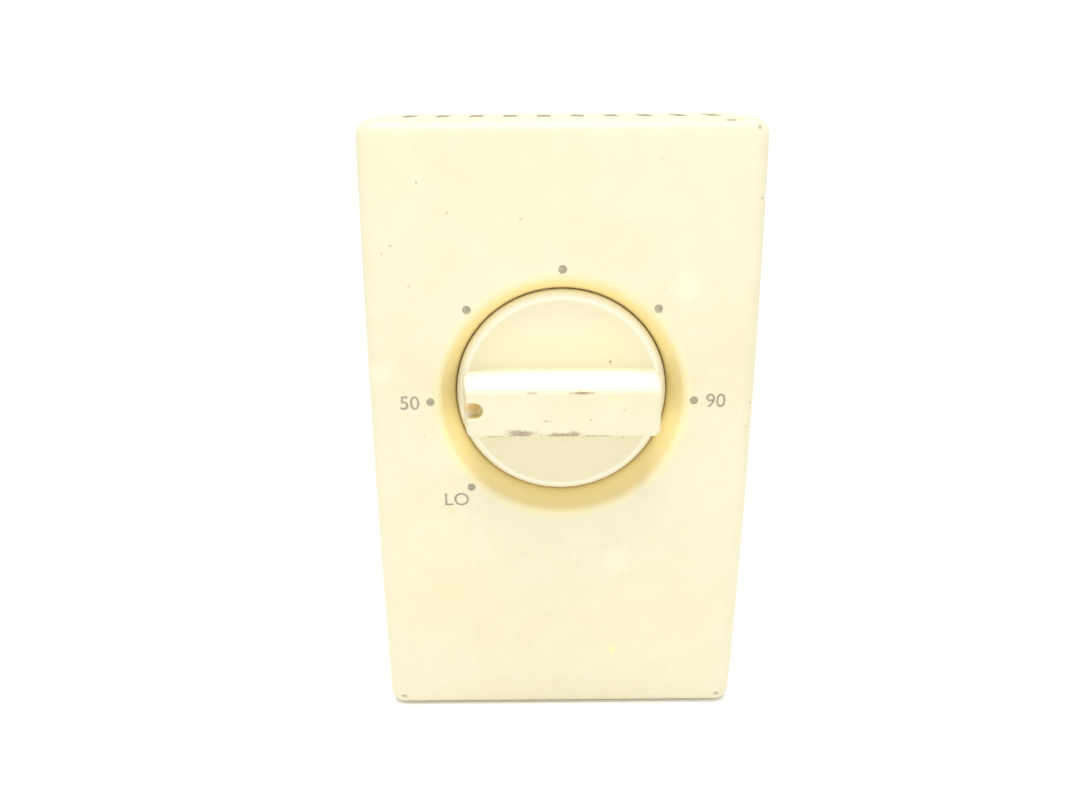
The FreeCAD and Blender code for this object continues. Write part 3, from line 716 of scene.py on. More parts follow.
@dataclass(frozen=True)
class MetalFinish:
    """Plated, drawn or turned metal with brushing, handling smudges, bright worn edges, and dark soiling and
    painted shade in its gaps.
    """

    name: str
    base: Colour
    tint: Colour
    roughness: float = 0.34
    stretch: tuple[float, float, float] = (1.0, 0.05, 1.0)
    brushing: float = 0.25
    tarnish: float = 0.35
    metallic: float = 1.0

    def build(self) -> bpy.types.Material:
        """Makes the material."""
        material, graph, shader, place = start_material(self.name)
        lines = graph.noise(graph.stretched(place, self.stretch), 4200.0, 2.0, 0.5)
        cloud = graph.remap(graph.noise(place, 260.0, 4.0, 0.6, 0.5), 0.35, 0.7)
        edges = rubbed_edges(graph, place, 0.0002)
        pale = tuple(min(1.0, c * 1.18) for c in self.base)
        colour = graph.mix(graph.times(cloud, self.tarnish), rgba(self.base), rgba(self.tint))
        colour = graph.mix(graph.times(graph.remap(lines, 0.3, 0.7), 0.18), colour, rgba(self.tint))
        colour = graph.mix(graph.times(edges, 0.6), colour, rgba(pale))
        # Darkening in the gaps from occlusion: soiling and painted shade together.
        grimy_and_shaded = crevice(graph, place, 0.0015)
        colour = graph.mix(graph.times(grimy_and_shaded, 0.35), colour, rgba((0.06, 0.05, 0.04)))
        graph.put(shader, "Base Color", colour)
        shader.inputs["Metallic"].default_value = self.metallic
        rough = graph.plus(graph.times(cloud, 0.16), self.roughness)
        rough = graph.plus(rough, graph.times(lines, 0.12))
        graph.put(shader, "Roughness", graph.minus(rough, graph.times(edges, 0.1), True))
        graph.bump(shader, lines, self.brushing, 0.00003)
        return material


@dataclass(frozen=True)
class MouldedFinish:
    """Dark or coloured moulding, lacquer or fibre with speckle, dust and slightly shiny rubbed edges."""

    name: str
    base: Colour
    fleck: Colour
    roughness: float = 0.5
    fleck_amount: float = 0.4
    fleck_scale: float = 1500.0
    stretch: tuple[float, float, float] = (1.0, 1.0, 1.0)

    def build(self) -> bpy.types.Material:
        """Makes the material."""
        material, graph, shader, place = start_material(self.name)
        flecks = graph.noise(graph.stretched(place, self.stretch), self.fleck_scale, 3.0, 0.65)
        amount = graph.times(graph.remap(flecks, 0.5, 0.7), self.fleck_amount)
        colour = graph.mix(amount, rgba(self.base), rgba(self.fleck))
        dust = graph.remap(graph.noise(place, 180.0, 4.0, 0.6), 0.42, 0.72, 0.0, 0.18)
        colour = graph.mix(dust, colour, rgba((0.42, 0.38, 0.32)))
        edges = rubbed_edges(graph, place, 0.0002)
        colour = graph.mix(graph.times(edges, 0.25), colour, rgba(self.fleck))
        graph.put(shader, "Base Color", colour)
        rough = graph.plus(graph.times(dust, 1.2), self.roughness)
        graph.put(shader, "Roughness", graph.minus(rough, graph.times(edges, 0.1), True))
        height = graph.plus(graph.times(flecks, 0.6), grain(graph, place, 0.4, 0.2))
        graph.bump(shader, height, 0.3, 0.00005)
        return material


@dataclass(frozen=True)
class InkFinish:
    """Pad-printed ink on the case: uneven, a little lighter where the print is thin."""

    name: str
    ink: Colour = (0.25, 0.23, 0.155)
    thin: Colour = (0.37, 0.335, 0.23)

    def build(self) -> bpy.types.Material:
        """Makes the material."""
        material, graph, shader, place = start_material(self.name)
        uneven = graph.remap(graph.noise(place, 1100.0, 4.0, 0.65), 0.38, 0.72)
        holes = graph.remap(graph.noise(place, 4200.0, 2.0, 0.5), 0.62, 0.72)
        colour = graph.mix(uneven, rgba(self.ink), rgba(self.thin))
        colour = graph.mix(graph.times(holes, 0.5), colour, rgba((0.62, 0.54, 0.36)))
        graph.put(shader, "Base Color", colour)
        graph.put(shader, "Roughness", graph.remap(uneven, 0.0, 1.0, 0.42, 0.6))
        graph.bump(shader, uneven, 0.3, 0.00004)
        return material


# ------------------------------------------------------------------ case

CASE_LOW, CASE_HIGH = corners_of("cover")
KNOB_LOW, KNOB_HIGH = corners_of("knob")
DIAL_Z = float(KNOB_LOW[2] + KNOB_HIGH[2]) / 2


@dataclass
class Crown:
    """Front face of the case: an arc of a large circle in side view."""

    front: float = float(-CASE_LOW[1])
    radius: float = 550.0 * MM

    def depth(self, z: Array) -> Array:
        """Distance of the face in front of the wall: front - (R - sqrt(R^2 - z^2))."""
        return self.front - (self.radius - np.sqrt(self.radius ** 2 - np.asarray(z) ** 2))


@dataclass
class Case:
    """Ivory case: crowned face, round well, vented top and bottom, hooks and the screw boss."""

    crown: Crown
    half_x: float = float(CASE_HIGH[0])
    half_z: float = float(CASE_HIGH[2])
    rim: float = float(-CASE_HIGH[1])
    corner: float = 3.0 * MM
    edge: float = 2.6 * MM
    wall: float = 2.0 * MM
    well_radius: float = 19.55 * MM
    well_floor: float = 20.6 * MM
    flare_radius: float = 22.0 * MM
    flare_back: float = 25.0 * MM
    flare_round: float = 1.5 * MM
    floor_hole: float = 6.6 * MM
    floor_share: float = 0.7
    foot: float = 0.6 * MM
    vent_cell: tuple[float, float] = (7 * MM, 23 * MM)
    screw_cell: tuple[float, float, float] = (6 * MM, 2 * MM, 14 * MM)
    hook_low: tuple[float, float, float] = (15 * MM, -3.6 * MM, 52.4 * MM)
    hook_high: tuple[float, float, float] = (23 * MM, -2.0 * MM, 56.6 * MM)
    slot_pitch: float = 6.0 * MM
    slot_half: float = 1.2 * MM
    slot_start: float = 10.0 * MM
    slot_end: float = 20.0 * MM
    screw_depth: float = 8.0 * MM
    head_recess: float = 3.3 * MM
    core: Array = field(init=False)
    normal: Array = field(init=False)

    def __post_init__(self) -> None:
        """Works out the outline: a core rectangle plus the corner radius along each point's normal."""
        outline = rounded_outline(self.half_x, self.half_z, self.corner, 1.0 * MM, 8)
        reach = np.array([self.half_x - self.corner, self.half_z - self.corner])
        self.core = np.clip(outline, -reach, reach)
        self.normal = (outline - self.core) / self.corner

    def ring(self, inset: float, depth: Array) -> Array:
        """Outline moved inwards by inset, each point at its depth in front of the wall."""
        flat = self.core + (self.corner - inset) * self.normal
        return upright(flat, depth)

    def side_depths(self) -> Array:
        """Depths of the plain rings of the side walls, one millimetre apart so that vent cells fit."""
        return np.concatenate([[self.rim], np.arange(1, 25) * MM])

    def front_rings(self) -> list[Array]:
        """Rings from the side walls over the rounded edge and across the face to the lip of the well.

        The edge is a quarter circle: inset edge * (1 - cos a), rise edge * sin a. The face runs in a straight
        blend from the outline to the lip's circle at the same angle about the dial, lifted on to the crown.
        """
        rings = []
        last = self.side_depths()[-1]
        start = self.crown.depth(self.ring(0.0, np.zeros(1))[:, 2]) - self.edge
        for share in (1 / 3, 2 / 3, 1.0):
            rings.append(self.ring(0.0, last + (start - last) * share))
        for turn in quarter_turn(9):
            flat = self.ring(self.edge * (1 - math.cos(turn)), np.zeros(1))
            depth = self.crown.depth(flat[:, 2]) - self.edge * (1 - math.sin(turn))
            rings.append(upright(flat[:, [0, 2]], depth))
        outer = rings[-1][:, [0, 2]]
        lip = self.circle(self.rim_start())
        for share in np.linspace(0, 1, 41)[1:]:
            flat = outer * (1 - share) + lip * share
            rings.append(upright(flat, self.crown.depth(flat[:, 1])))
        return rings

    def flare_angle(self) -> float:
        """Turn from the face to the flare's slope, which is the turn of the rounding between them."""
        return math.atan2(self.crown.front - self.flare_back, self.flare_radius - self.well_radius)

    def rim_start(self) -> float:
        """Radius where the rounding leaves the face: the flare's corner plus its tangent length."""
        return self.flare_radius + self.flare_round * math.tan(self.flare_angle() / 2)

    def circle(self, radius: float) -> Array:
        """Circle about the dial with one point at the angle of each outline point."""
        outline = self.core + self.corner * self.normal
        angle = np.arctan2(outline[:, 1] - DIAL_Z, outline[:, 0])
        return np.stack([radius * np.cos(angle), DIAL_Z + radius * np.sin(angle)], -1)

    def well_rings(self) -> list[Array]:
        """Rings over the rounded rim, down the flare and the wall, round the foot, in to the shaft hole.

        On the rim, at turn a, the radius falls by flare_round * sin a and the surface by
        flare_round * (1 - cos a) below the crown. The flare and the wall are straight blends of depth.
        """
        rings = []
        for turn in np.linspace(0, self.flare_angle(), 9)[1:]:
            flat = self.circle(self.rim_start() - self.flare_round * math.sin(turn))
            depth = self.crown.depth(flat[:, 1]) - self.flare_round * (1 - math.cos(turn))
            rings.append(upright(flat, depth))
        top = -rings[-1][:, 1]
        edge = self.rim_start() - self.flare_round * math.sin(self.flare_angle())
        for share in np.linspace(0, 1, 9)[1:]:
            flat = self.circle(edge + (self.well_radius - edge) * share)
            depth = top + (self.flare_back - top) * share
            rings.append(upright(flat, depth))
        flat = self.circle(self.well_radius)
        for depth in np.linspace(self.flare_back, self.well_floor + self.foot, 5)[1:]:
            rings.append(upright(flat, depth))
        for turn in quarter_turn(5):
            flat = self.circle(self.well_radius - self.foot * (1 - math.cos(turn)))
            depth = self.well_floor + self.foot * (1 - math.sin(turn))
            rings.append(upright(flat, depth))
        for radius in np.linspace(self.well_radius - self.foot, self.floor_hole, 13)[1:]:
            rings.append(upright(self.circle(radius), self.well_floor))
        return rings

    def cells(self) -> list[tuple[float, ...]]:
        """Wall cells: side, middle x, half width, first and last depth, core depths, hole radius."""
        slots = [(i - 4.5) * self.slot_pitch for i in range(10)]
        beside = [x for x in slots if abs(x) > 8 * MM]
        shape = (self.slot_pitch / 2, *self.vent_cell, self.slot_start, self.slot_end, self.slot_half)
        found = [(1.0, x, *shape) for x in slots] + [(-1.0, x, *shape) for x in beside]
        return [*found, (-1.0, 0.0, *self.screw_cell, self.screw_depth, self.screw_depth, self.head_recess)]

    def cell_mesh(self, cell: tuple[float, ...]) -> tuple[Array, Array]:
        """Wall round one hole: rings that blend from the cell's rectangle to the hole.

        Each rectangle point goes to the hole's nearest point: the core line's nearest point plus the hole's
        radius along the line between them.

        Args:
            cell: one entry of cells().

        Returns:
            Points and quads of the ring grid.
        """
        side, middle, half, low, high, core_low, core_high, radius = cell
        across = np.linspace(-half, half, round(2 * half / MM) + 1)
        down = np.linspace(low, high, round((high - low) / MM) + 1)
        edge = np.concatenate([
            np.stack([across, np.full(len(across), low)], -1)[:-1],
            np.stack([np.full(len(down), half), down], -1)[:-1],
            np.stack([across[::-1], np.full(len(across), high)], -1)[:-1],
            np.stack([np.full(len(down), -half), down[::-1]], -1)[:-1],
        ])
        core = np.stack([np.zeros(len(edge)), np.clip(edge[:, 1], core_low, core_high)], -1)
        lean = edge - core
        hole = core + radius * lean / np.linalg.norm(lean, axis=1, keepdims=True)
        shares = np.linspace(0, 1, 6)[:, None, None]
        flat = edge * (1 - shares) + hole * shares
        height = np.full(flat.shape[:2], side * self.half_z)
        points = np.stack([flat[..., 0] + middle, -flat[..., 1], height], -1)
        return points.reshape(-1, 3), grid_faces(6, len(edge), closed=True)

    def skin(self) -> bpy.types.Object:
        """Outer surface with its holes, thickened inwards by live modifiers."""
        depths = self.side_depths()
        rings = [self.ring(0.0, np.full(1, d)) for d in depths] + self.front_rings() + self.well_rings()
        points = np.concatenate(rings)
        count = len(self.core)
        faces = grid_faces(len(rings), count, closed=True)
        middle = points[faces].mean(axis=1)
        inside_cell = np.zeros(len(faces), bool)
        for side, x, half, low, high, *_ in self.cells():
            near = (np.abs(middle[:, 0] - x) < half) & (middle[:, 1] < -low) & (middle[:, 1] > -high)
            inside_cell |= near & (np.abs(middle[:, 2] - side * self.half_z) < 0.01 * MM)
        faces = faces[~inside_cell]
        parts, quads, start = [points], [faces], len(points)
        for cell in self.cells():
            cell_points, cell_faces = self.cell_mesh(cell)
            parts.append(cell_points)
            quads.append(cell_faces + start)
            start += len(cell_points)
        piece = make_object("case_shell", np.concatenate(parts), np.concatenate(quads))
        flip_if_inward(piece, Vector((0, -1, 0)), Vector((0.03, -0.029, -0.03)))
        self.thicken(piece)
        return piece

    def thicken(self, piece: bpy.types.Object) -> None:
        """Gives the skin its wall; the well's floor and wall are thinner than the case's."""
        group = piece.vertex_groups.new(name="wall_share")
        in_well = [v.index for v in piece.data.vertices
                   if math.hypot(v.co.x, v.co.z - DIAL_Z) < self.well_radius + 0.01 * MM]
        chosen = set(in_well)
        group.add([v.index for v in piece.data.vertices if v.index not in chosen], 1.0, "REPLACE")
        group.add(in_well, self.floor_share, "REPLACE")
        solid = piece.modifiers.new("wall", "SOLIDIFY")
        solid.thickness = self.wall
        solid.offset = -1.0
        solid.use_even_offset = True
        solid.vertex_group = group.name
        add_bevel(piece, 0.22 * MM, 2, 50.0)

    def boss(self) -> bpy.types.Object:
        """Boss with the recess for the case screw's head."""
        bottom = -self.half_z
        profile = [(1.65, 2.2), (1.65, 3.4), (5.0, 3.4), (5.0, 1.98), (3.3, 1.98), (3.3, 2.2)]
        scaled = [(r * MM, h * MM) for r, h in profile]
        piece = lathe("case_screw_boss", scaled, np.array([0, -self.screw_depth, bottom]), Axis.UP, 56)
        add_bevel(piece, 0.15 * MM, 2)
        return piece

    def hooks(self) -> list[bpy.types.Object]:
        """Two hooks that catch behind the plate's lips."""
        made = []
        for name, side in (("case_hook_left", -1), ("case_hook_right", 1)):
            ends = np.array([self.hook_low, self.hook_high]) * [side, 1, 1]
            made.append(block_piece(name, ends.min(0), ends.max(0), 0.3 * MM))
        return made

    def build(self, finish: bpy.types.Material) -> None:
        """Builds the case and sets it in place of the plain one."""
        for piece in [self.skin(), self.boss(), *self.hooks()]:
            finish_piece(piece, "housing", finish, ["cover"])


# ------------------------------------------------------------------ knob

@dataclass
class Knob:
    """Moulded knob: disc in the well, drafted grip bar with an open notch, cored back, flat in its bore."""

    radius: float = float(KNOB_HIGH[0])
    back: float = float(-KNOB_HIGH[1])
    front: float = float(-KNOB_LOW[1])
    disc_front: float = 27.0 * MM
    disc_edge: float = 1.8 * MM
    disc_wall: float = 1.8 * MM
    hub: float = 7.0 * MM
    foot_half_x: float = 18.1 * MM
    tip_half_x: float = 16.9 * MM
    foot_half_z: float = 4.72 * MM
    tip_half_z: float = 4.35 * MM
    upright: float = 1.3 * MM
    foot_round: float = 0.35 * MM
    top_round: float = 0.75 * MM
    notch_round: float = 0.28 * MM
    notch_half: float = 1.45 * MM
    notch_length: float = 2.9 * MM
    notch_depth: float = 2.5 * MM
    notch_up: float = 0.6 * MM
    mouth: float = 0.4 * MM
    bore: float = 3.05 * MM
    bore_flat: float = 2.45 * MM
    bore_end: float = 35.6 * MM
    pocket: tuple[float, float, float] = (7.6 * MM, 14.6 * MM, 2.75 * MM)
    pocket_end: float = 35.4 * MM

    def outline(self, half_x: float, half_z: float, notched: bool) -> tuple[Array, Array, Array]:
        """Section of the grip, counter-clockwise from the upper side of the notch's mouth.

        Args:
            half_x: half length of the section.
            half_z: half height of the section.
            notched: whether the left end carries the notch or runs straight across its mouth.

        Returns:
            Points as x, z about the dial, their outward normals, and the size of the edge rounding there.
        """
        r, half, lip = self.upright, self.notch_half, self.mouth
        quarter = np.linspace(0, math.pi / 2, 9)
        arcs = []
        for centre, first in (((-half_x + r, half_z - r), 1), ((-half_x + r, -half_z + r), 2),
                              ((half_x - r, -half_z + r), 3), ((half_x - r, half_z - r), 0)):
            turn = first * math.pi / 2 + quarter
            lean = np.stack([np.cos(turn), np.sin(turn)], -1)
            arcs.append((np.array(centre) + r * lean, lean))
        upper_left, lower_left, lower_right, upper_right = arcs

        def run(a: Array, b: Array, lean: tuple[float, float], steps: int) -> tuple[Array, Array]:
            """Points between two ends, with one normal."""
            share = np.linspace(0, 1, steps + 1)[1:-1, None]
            return a + (b - a) * share, np.tile(lean, (steps - 1, 1)).astype(float)

        lower_mouth = np.array([-half_x, self.notch_up - half - lip])
        upper_mouth = np.array([-half_x, self.notch_up + half + lip])
        floor, floor_lean = self.notch_path(half_x) if notched else self.plain_end(half_x)
        rows = [
            (floor, floor_lean, self.notch_round if notched else self.top_round),
            (*run(lower_mouth, lower_left[0][0], (-1, 0), 3), self.top_round),
            (*lower_left, self.top_round),
            (*run(lower_left[0][-1], lower_right[0][0], (0, -1), 44), self.top_round),
            (*lower_right, self.top_round),
            (*run(lower_right[0][-1], upper_right[0][0], (1, 0), 12), self.top_round),
            (*upper_right, self.top_round),
            (*run(upper_right[0][-1], upper_left[0][0], (0, 1), 44), self.top_round),
            (*upper_left, self.top_round),
            (*run(upper_left[0][-1], upper_mouth, (-1, 0), 3), self.top_round),
        ]
        points = np.concatenate([row[0] for row in rows])
        leans = np.concatenate([row[1] for row in rows])
        rounds = np.concatenate([np.full(len(row[0]), row[2]) for row in rows])
        return points, leans, rounds

    def notch_path(self, half_x: float) -> tuple[Array, Array]:
        """Way round the notch from upper to lower mouth: arc, straight, half circle, straight, arc."""
        half, lip = self.notch_half, self.mouth
        centre = -self.tip_half_x + self.notch_length - half
        bend = np.linspace(0, math.pi / 2, 5)
        lean = np.stack([-np.cos(bend), -np.sin(bend)], -1)
        upper = np.array([-half_x + lip, half + lip]) + lip * lean
        straight = np.linspace(-half_x + lip, centre, 6)[1:-1]
        top = np.stack([straight, np.full(4, half)], -1)
        turn = np.linspace(math.pi / 2, -math.pi / 2, 17)
        round_end = np.array([centre, 0]) + half * np.stack([np.cos(turn), np.sin(turn)], -1)
        round_lean = -np.stack([np.cos(turn), np.sin(turn)], -1)
        points = np.concatenate([upper, top, round_end, top[::-1] * [1, -1], upper[::-1] * [1, -1]])
        leans = np.concatenate([lean, np.tile([0.0, -1.0], (4, 1)), round_lean, np.tile([0.0, 1.0], (4, 1)),
                                lean[::-1] * [1, -1]])
        return points + [0.0, self.notch_up], leans

    def plain_end(self, half_x: float) -> tuple[Array, Array]:
        """As many points as the notch has, straight down the end wall across its mouth."""
        count = len(self.notch_path(half_x)[0])
        reach = self.notch_half + self.mouth
        z = self.notch_up + np.linspace(reach, -reach, count)
        return np.stack([np.full(count, -half_x), z], -1), np.tile([-1.0, 0.0], (count, 1))

    def at(self, flat: Array, depth: Array | float) -> Array:
        """Points of a section about the dial, at a depth in front of the wall."""
        return upright(flat, depth, DIAL_Z)

    def halves(self, depth: float) -> tuple[float, float]:
        """Half length and half height of the grip at a depth: both shrink evenly to the front."""
        share = (depth - self.disc_front) / (self.front - self.disc_front)
        return (self.foot_half_x + (self.tip_half_x - self.foot_half_x) * share,
                self.foot_half_z + (self.tip_half_z - self.foot_half_z) * share)

    def rings(self) -> list[Array]:
        """Rings from the disc's back edge over its front and up the grip to the rounding of its top edge."""
        foot, lean, _ = self.outline(*self.halves(self.disc_front), False)
        angle = np.arctan2(foot[:, 1], foot[:, 0])
        circle = np.stack([np.cos(angle), np.sin(angle)], -1)
        made = [self.at(circle * (self.radius - 0.3 * MM), self.back)]
        made.append(self.at(circle * (self.radius - 0.09 * MM), self.back + 0.09 * MM))
        made.append(self.at(circle * self.radius, self.back + 0.3 * MM))
        made.append(self.at(circle * self.radius, self.disc_front - self.disc_edge))
        for turn in quarter_turn(9):
            radius = self.radius - self.disc_edge * (1 - math.cos(turn))
            made.append(self.at(circle * radius, self.disc_front - self.disc_edge * (1 - math.sin(turn))))
        inner = foot + self.foot_round * lean
        outer = circle * (self.radius - self.disc_edge)
        for share in np.linspace(0, 1, 13)[1:]:
            made.append(self.at(outer * (1 - share) + inner * share, self.disc_front))
        for turn in quarter_turn(4):
            made.append(self.at(foot + self.foot_round * (1 - math.sin(turn)) * lean,
                                self.disc_front + self.foot_round * (1 - math.cos(turn))))
        notch_floor = self.front - self.notch_depth
        for depth in np.linspace(self.disc_front + self.foot_round, notch_floor, 11)[1:]:
            made.append(self.at(self.outline(*self.halves(depth), False)[0], depth))
        for depth in np.linspace(notch_floor, self.front - self.top_round, 4):
            made.append(self.at(self.outline(*self.halves(depth), True)[0], depth))
        return made + self.top_rings()

    def top_rings(self) -> list[Array]:
        """Rounded top edge: inset r * (1 - cos a) and rise r * sin a, with r smaller round the notch."""
        flat, lean, rounding = self.outline(*self.halves(self.front), True)
        made = []
        for turn in np.linspace(0, math.pi / 2, 7):
            inset = flat - (rounding * (1 - math.cos(turn)))[:, None] * lean
            made.append(self.at(inset, self.front - rounding * (1 - math.sin(turn))))
        return made

    def underside(self, start: int) -> tuple[Array, list[list[int]], list[list[list[int]]]]:
        """Hollow behind the disc, hub, pockets in the grip and the keyed bore.

        Each is a closed line carried along the depth. The flat faces between them are filled afterwards.

        Args:
            start: index of the first new point.

        Returns:
            Points, side faces, and the groups of lines that each bound one flat face.
        """
        turn = full_turn(96)
        circle = np.stack([np.cos(turn), np.sin(turn)], -1)
        ceiling = self.disc_front - self.disc_wall
        bore = self.bore * circle
        keyed = np.stack([bore[:, 0], np.minimum(bore[:, 1], self.bore_flat)], -1)
        near, far, half = self.pocket
        boxes = [rounded_outline((far - near) / 2, half, 0.4 * MM, 1.2 * MM, 4) + [side * (near + far) / 2, 0]
                 for side in (-1, 1)]
        hollow = circle * (self.radius - self.disc_wall)
        hub = circle * self.hub
        walls = [
            [self.at(hollow, self.back), self.at(hollow, ceiling)],
            [self.at(hub, self.back), self.at(hub, ceiling)],
            [self.at(bore, self.back), self.at(keyed, self.back + 1.0 * MM), self.at(keyed, self.bore_end)],
            *[[self.at(box, ceiling), self.at(box, self.pocket_end)] for box in boxes],
        ]
        points, faces, lines = [], [], []
        for levels in walls:
            count = len(levels[0])
            faces += grid_faces(len(levels), count, closed=True, offset=start).tolist()
            lines.append([list(range(start + i * count, start + (i + 1) * count))
                          for i in (0, len(levels) - 1)])
            points += levels
            start += len(levels) * count
        rim, post, hole, left, right = lines
        flats = [[rim[0]], [rim[1], post[1], left[0], right[0]], [post[0], hole[0]],
                 [hole[1]], [left[1]], [right[1]]]
        return np.concatenate(points), faces, flats

    def build(self, finish: bpy.types.Material) -> None:
        """Builds the knob as one closed mesh in place of the plain one."""
        rings = self.rings()
        count = len(rings[0])
        outside = np.concatenate(rings)
        faces = grid_faces(len(rings), count, closed=True).tolist()
        faces.append(list(range((len(rings) - 1) * count, len(rings) * count)))
        inner, inner_faces, flats = self.underside(len(outside))
        flats[0].append(list(range(count)))
        mesh = bpy.data.meshes.new("setting_knob")
        piece = bpy.data.objects.new("setting_knob", mesh)
        bpy.context.scene.collection.objects.link(piece)
        work = bmesh.new()
        verts = [work.verts.new(p) for p in np.concatenate([outside, inner])]
        for face in faces + inner_faces:
            work.faces.new([verts[i] for i in face])
        for flat in flats:
            border = [work.edges.get((verts[a], verts[b])) or work.edges.new((verts[a], verts[b]))
                      for line in flat for a, b in zip(line, line[1:] + line[:1])]
            bmesh.ops.triangle_fill(work, use_beauty=True, edges=border)
        bmesh.ops.remove_doubles(work, verts=work.verts, dist=1e-6)
        bmesh.ops.dissolve_degenerate(work, edges=work.edges, dist=1e-8)
        bmesh.ops.recalc_face_normals(work, faces=work.faces)
        work.to_mesh(mesh)
        work.free()
        mesh.polygons.foreach_set("use_smooth", np.ones(len(mesh.polygons), bool))
        sharpen(piece, 50.0)
        weigh = piece.modifiers.new("flat_faces", "WEIGHTED_NORMAL")
        weigh.keep_sharp = True
        finish_piece(piece, "dial", finish, ["knob"])


# ------------------------------------------------------------------ dial print

class Word(Enum):
    """Settings printed on the case."""

    FIFTY = "50"
    NINETY = "90"
    LOW = "LO"


@dataclass
class DialPrint:
    """Six dots on a circle about the knob and three settings, printed on the crowned face."""

    crown: Crown
    circle: float = 23.77 * MM
    dot: float = 0.76 * MM
    ink: float = 0.02 * MM
    capital: float = 2.6 * MM

    def lift(self, flat: Array, above: Array | float) -> Array:
        """Points x, z laid on the crown, a little above it."""
        return upright(flat, self.crown.depth(flat[..., 1]) + above)

    def dots(self) -> bpy.types.Object:
        """Low domed dots: ink height falls as the square of the distance from each middle."""
        angles = np.radians([0, 45, 90, 135, 180, 225])
        turn = full_turn(40)
        radii = np.array([1.0, 0.92, 0.6, 0.25]) * self.dot
        points, faces, start = [], [], 0
        for angle in angles:
            middle = np.array([self.circle * math.cos(angle), DIAL_Z + self.circle * math.sin(angle)])
            ring = middle + radii[:, None, None] * np.stack([np.cos(turn), np.sin(turn)], -1)[None]
            above = self.ink * (1.0 - (radii / self.dot) ** 6)[:, None] * np.ones(len(turn)) + 0.004 * MM
            points.append(self.lift(ring, above).reshape(-1, 3))
            faces += grid_faces(len(radii), len(turn), closed=True, offset=start).tolist()
            faces.append(list(range(start + 3 * len(turn), start + 4 * len(turn))))
            start += 4 * len(turn)
        piece = make_object("dial_dots", np.concatenate(points), faces)
        flip_if_inward(piece, Vector((0, -1, 0)), Vector(points[0][0]))
        return piece

    def word(self, word: Word, x: float, z: float) -> bpy.types.Object:
        """One setting as a thin printed mesh, its middle at x, z."""
        curve = bpy.data.curves.new("setting_" + word.name.lower(), "FONT")
        curve.body = word.value
        curve.align_x = "CENTER"
        curve.offset = 0.007
        curve.resolution_u = 8
        holder = bpy.data.objects.new(curve.name, curve)
        bpy.context.scene.collection.objects.link(holder)
        bpy.context.view_layer.update()
        mesh = bpy.data.meshes.new_from_object(holder)
        bpy.data.objects.remove(holder)
        bpy.data.curves.remove(curve)
        count = len(mesh.vertices)
        flat = np.zeros(count * 3)
        mesh.vertices.foreach_get("co", flat)
        flat = flat.reshape(-1, 3)[:, :2]
        low, high = flat.min(0), flat.max(0)
        scale = self.capital / (high[1] - low[1])
        flat = (flat - (low + high) / 2) * scale * [1.02, 1.0] + [x, z]
        mesh.vertices.foreach_set("co", self.lift(flat, 0.012 * MM).ravel())
        mesh.update()
        piece = bpy.data.objects.new("setting_" + word.name.lower(), mesh)
        bpy.context.scene.collection.objects.link(piece)
        flip_if_inward(piece, Vector((0, -1, 0)), Vector((x, -self.crown.front, z)))
        return piece

    def build(self, finish: bpy.types.Material) -> None:
        """Builds the print on the case."""
        slant = self.circle * math.sqrt(0.5)
        pieces = [
            self.dots(),
            self.word(Word.FIFTY, -self.circle - 3.75 * MM, DIAL_Z - 0.15 * MM),
            self.word(Word.NINETY, self.circle + 3.95 * MM, DIAL_Z - 0.05 * MM),
            self.word(Word.LOW, -slant - 2.8 * MM, DIAL_Z - slant - 2.45 * MM),
        ]
        for piece in pieces:
            piece.data.materials.append(finish)
            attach(piece, "housing")
            LOG.info("%s: %d points", piece.name, len(piece.data.vertices))


# ------------------------------------------------------------------ mechanism

@dataclass
class Coil:
    """Compression spring of round wire: closed flat coils at both ends and even coils between."""

    name: str
    centre: tuple[float, float, float]
    start: float
    end: float
    radius: float
    wire: float
    turns: float
    steps_per_turn: int = 40
    wire_steps: int = 12

    def build(self) -> bpy.types.Object:
        """Sweeps the wire along the coil.

        The centre line is (radius cos a, radius sin a, rise(a)). The rise eases from zero over the first turn
        and back to zero over the last, so both ends lie flat. The wire's circle spans the direction away from
        the axis and the direction square to both that and the line.
        """
        count = round(self.turns * self.steps_per_turn) + 1
        turn = np.linspace(0, 2 * math.pi * self.turns, count)
        speed = np.clip(np.minimum(turn, turn[-1] - turn) / (2 * math.pi), 0.12, 1.0)
        rise = np.concatenate([[0.0], np.cumsum((speed[1:] + speed[:-1]) / 2)])
        rise = self.start + self.wire + rise / rise[-1] * (self.end - self.start - 2 * self.wire)
        away = np.stack([np.cos(turn), np.zeros(count), np.sin(turn)], -1)
        line = self.radius * away + np.array(self.centre)
        line[:, 1] = -rise
        ahead = np.gradient(line, axis=0)
        ahead /= np.linalg.norm(ahead, axis=1, keepdims=True)
        square = np.cross(ahead, away)
        around = full_turn(self.wire_steps)
        tube = (line[:, None] + self.wire * (np.cos(around)[None, :, None] * away[:, None]
                                             + np.sin(around)[None, :, None] * square[:, None]))
        return make_object(self.name, tube.reshape(-1, 3), tube_faces(count, self.wire_steps))


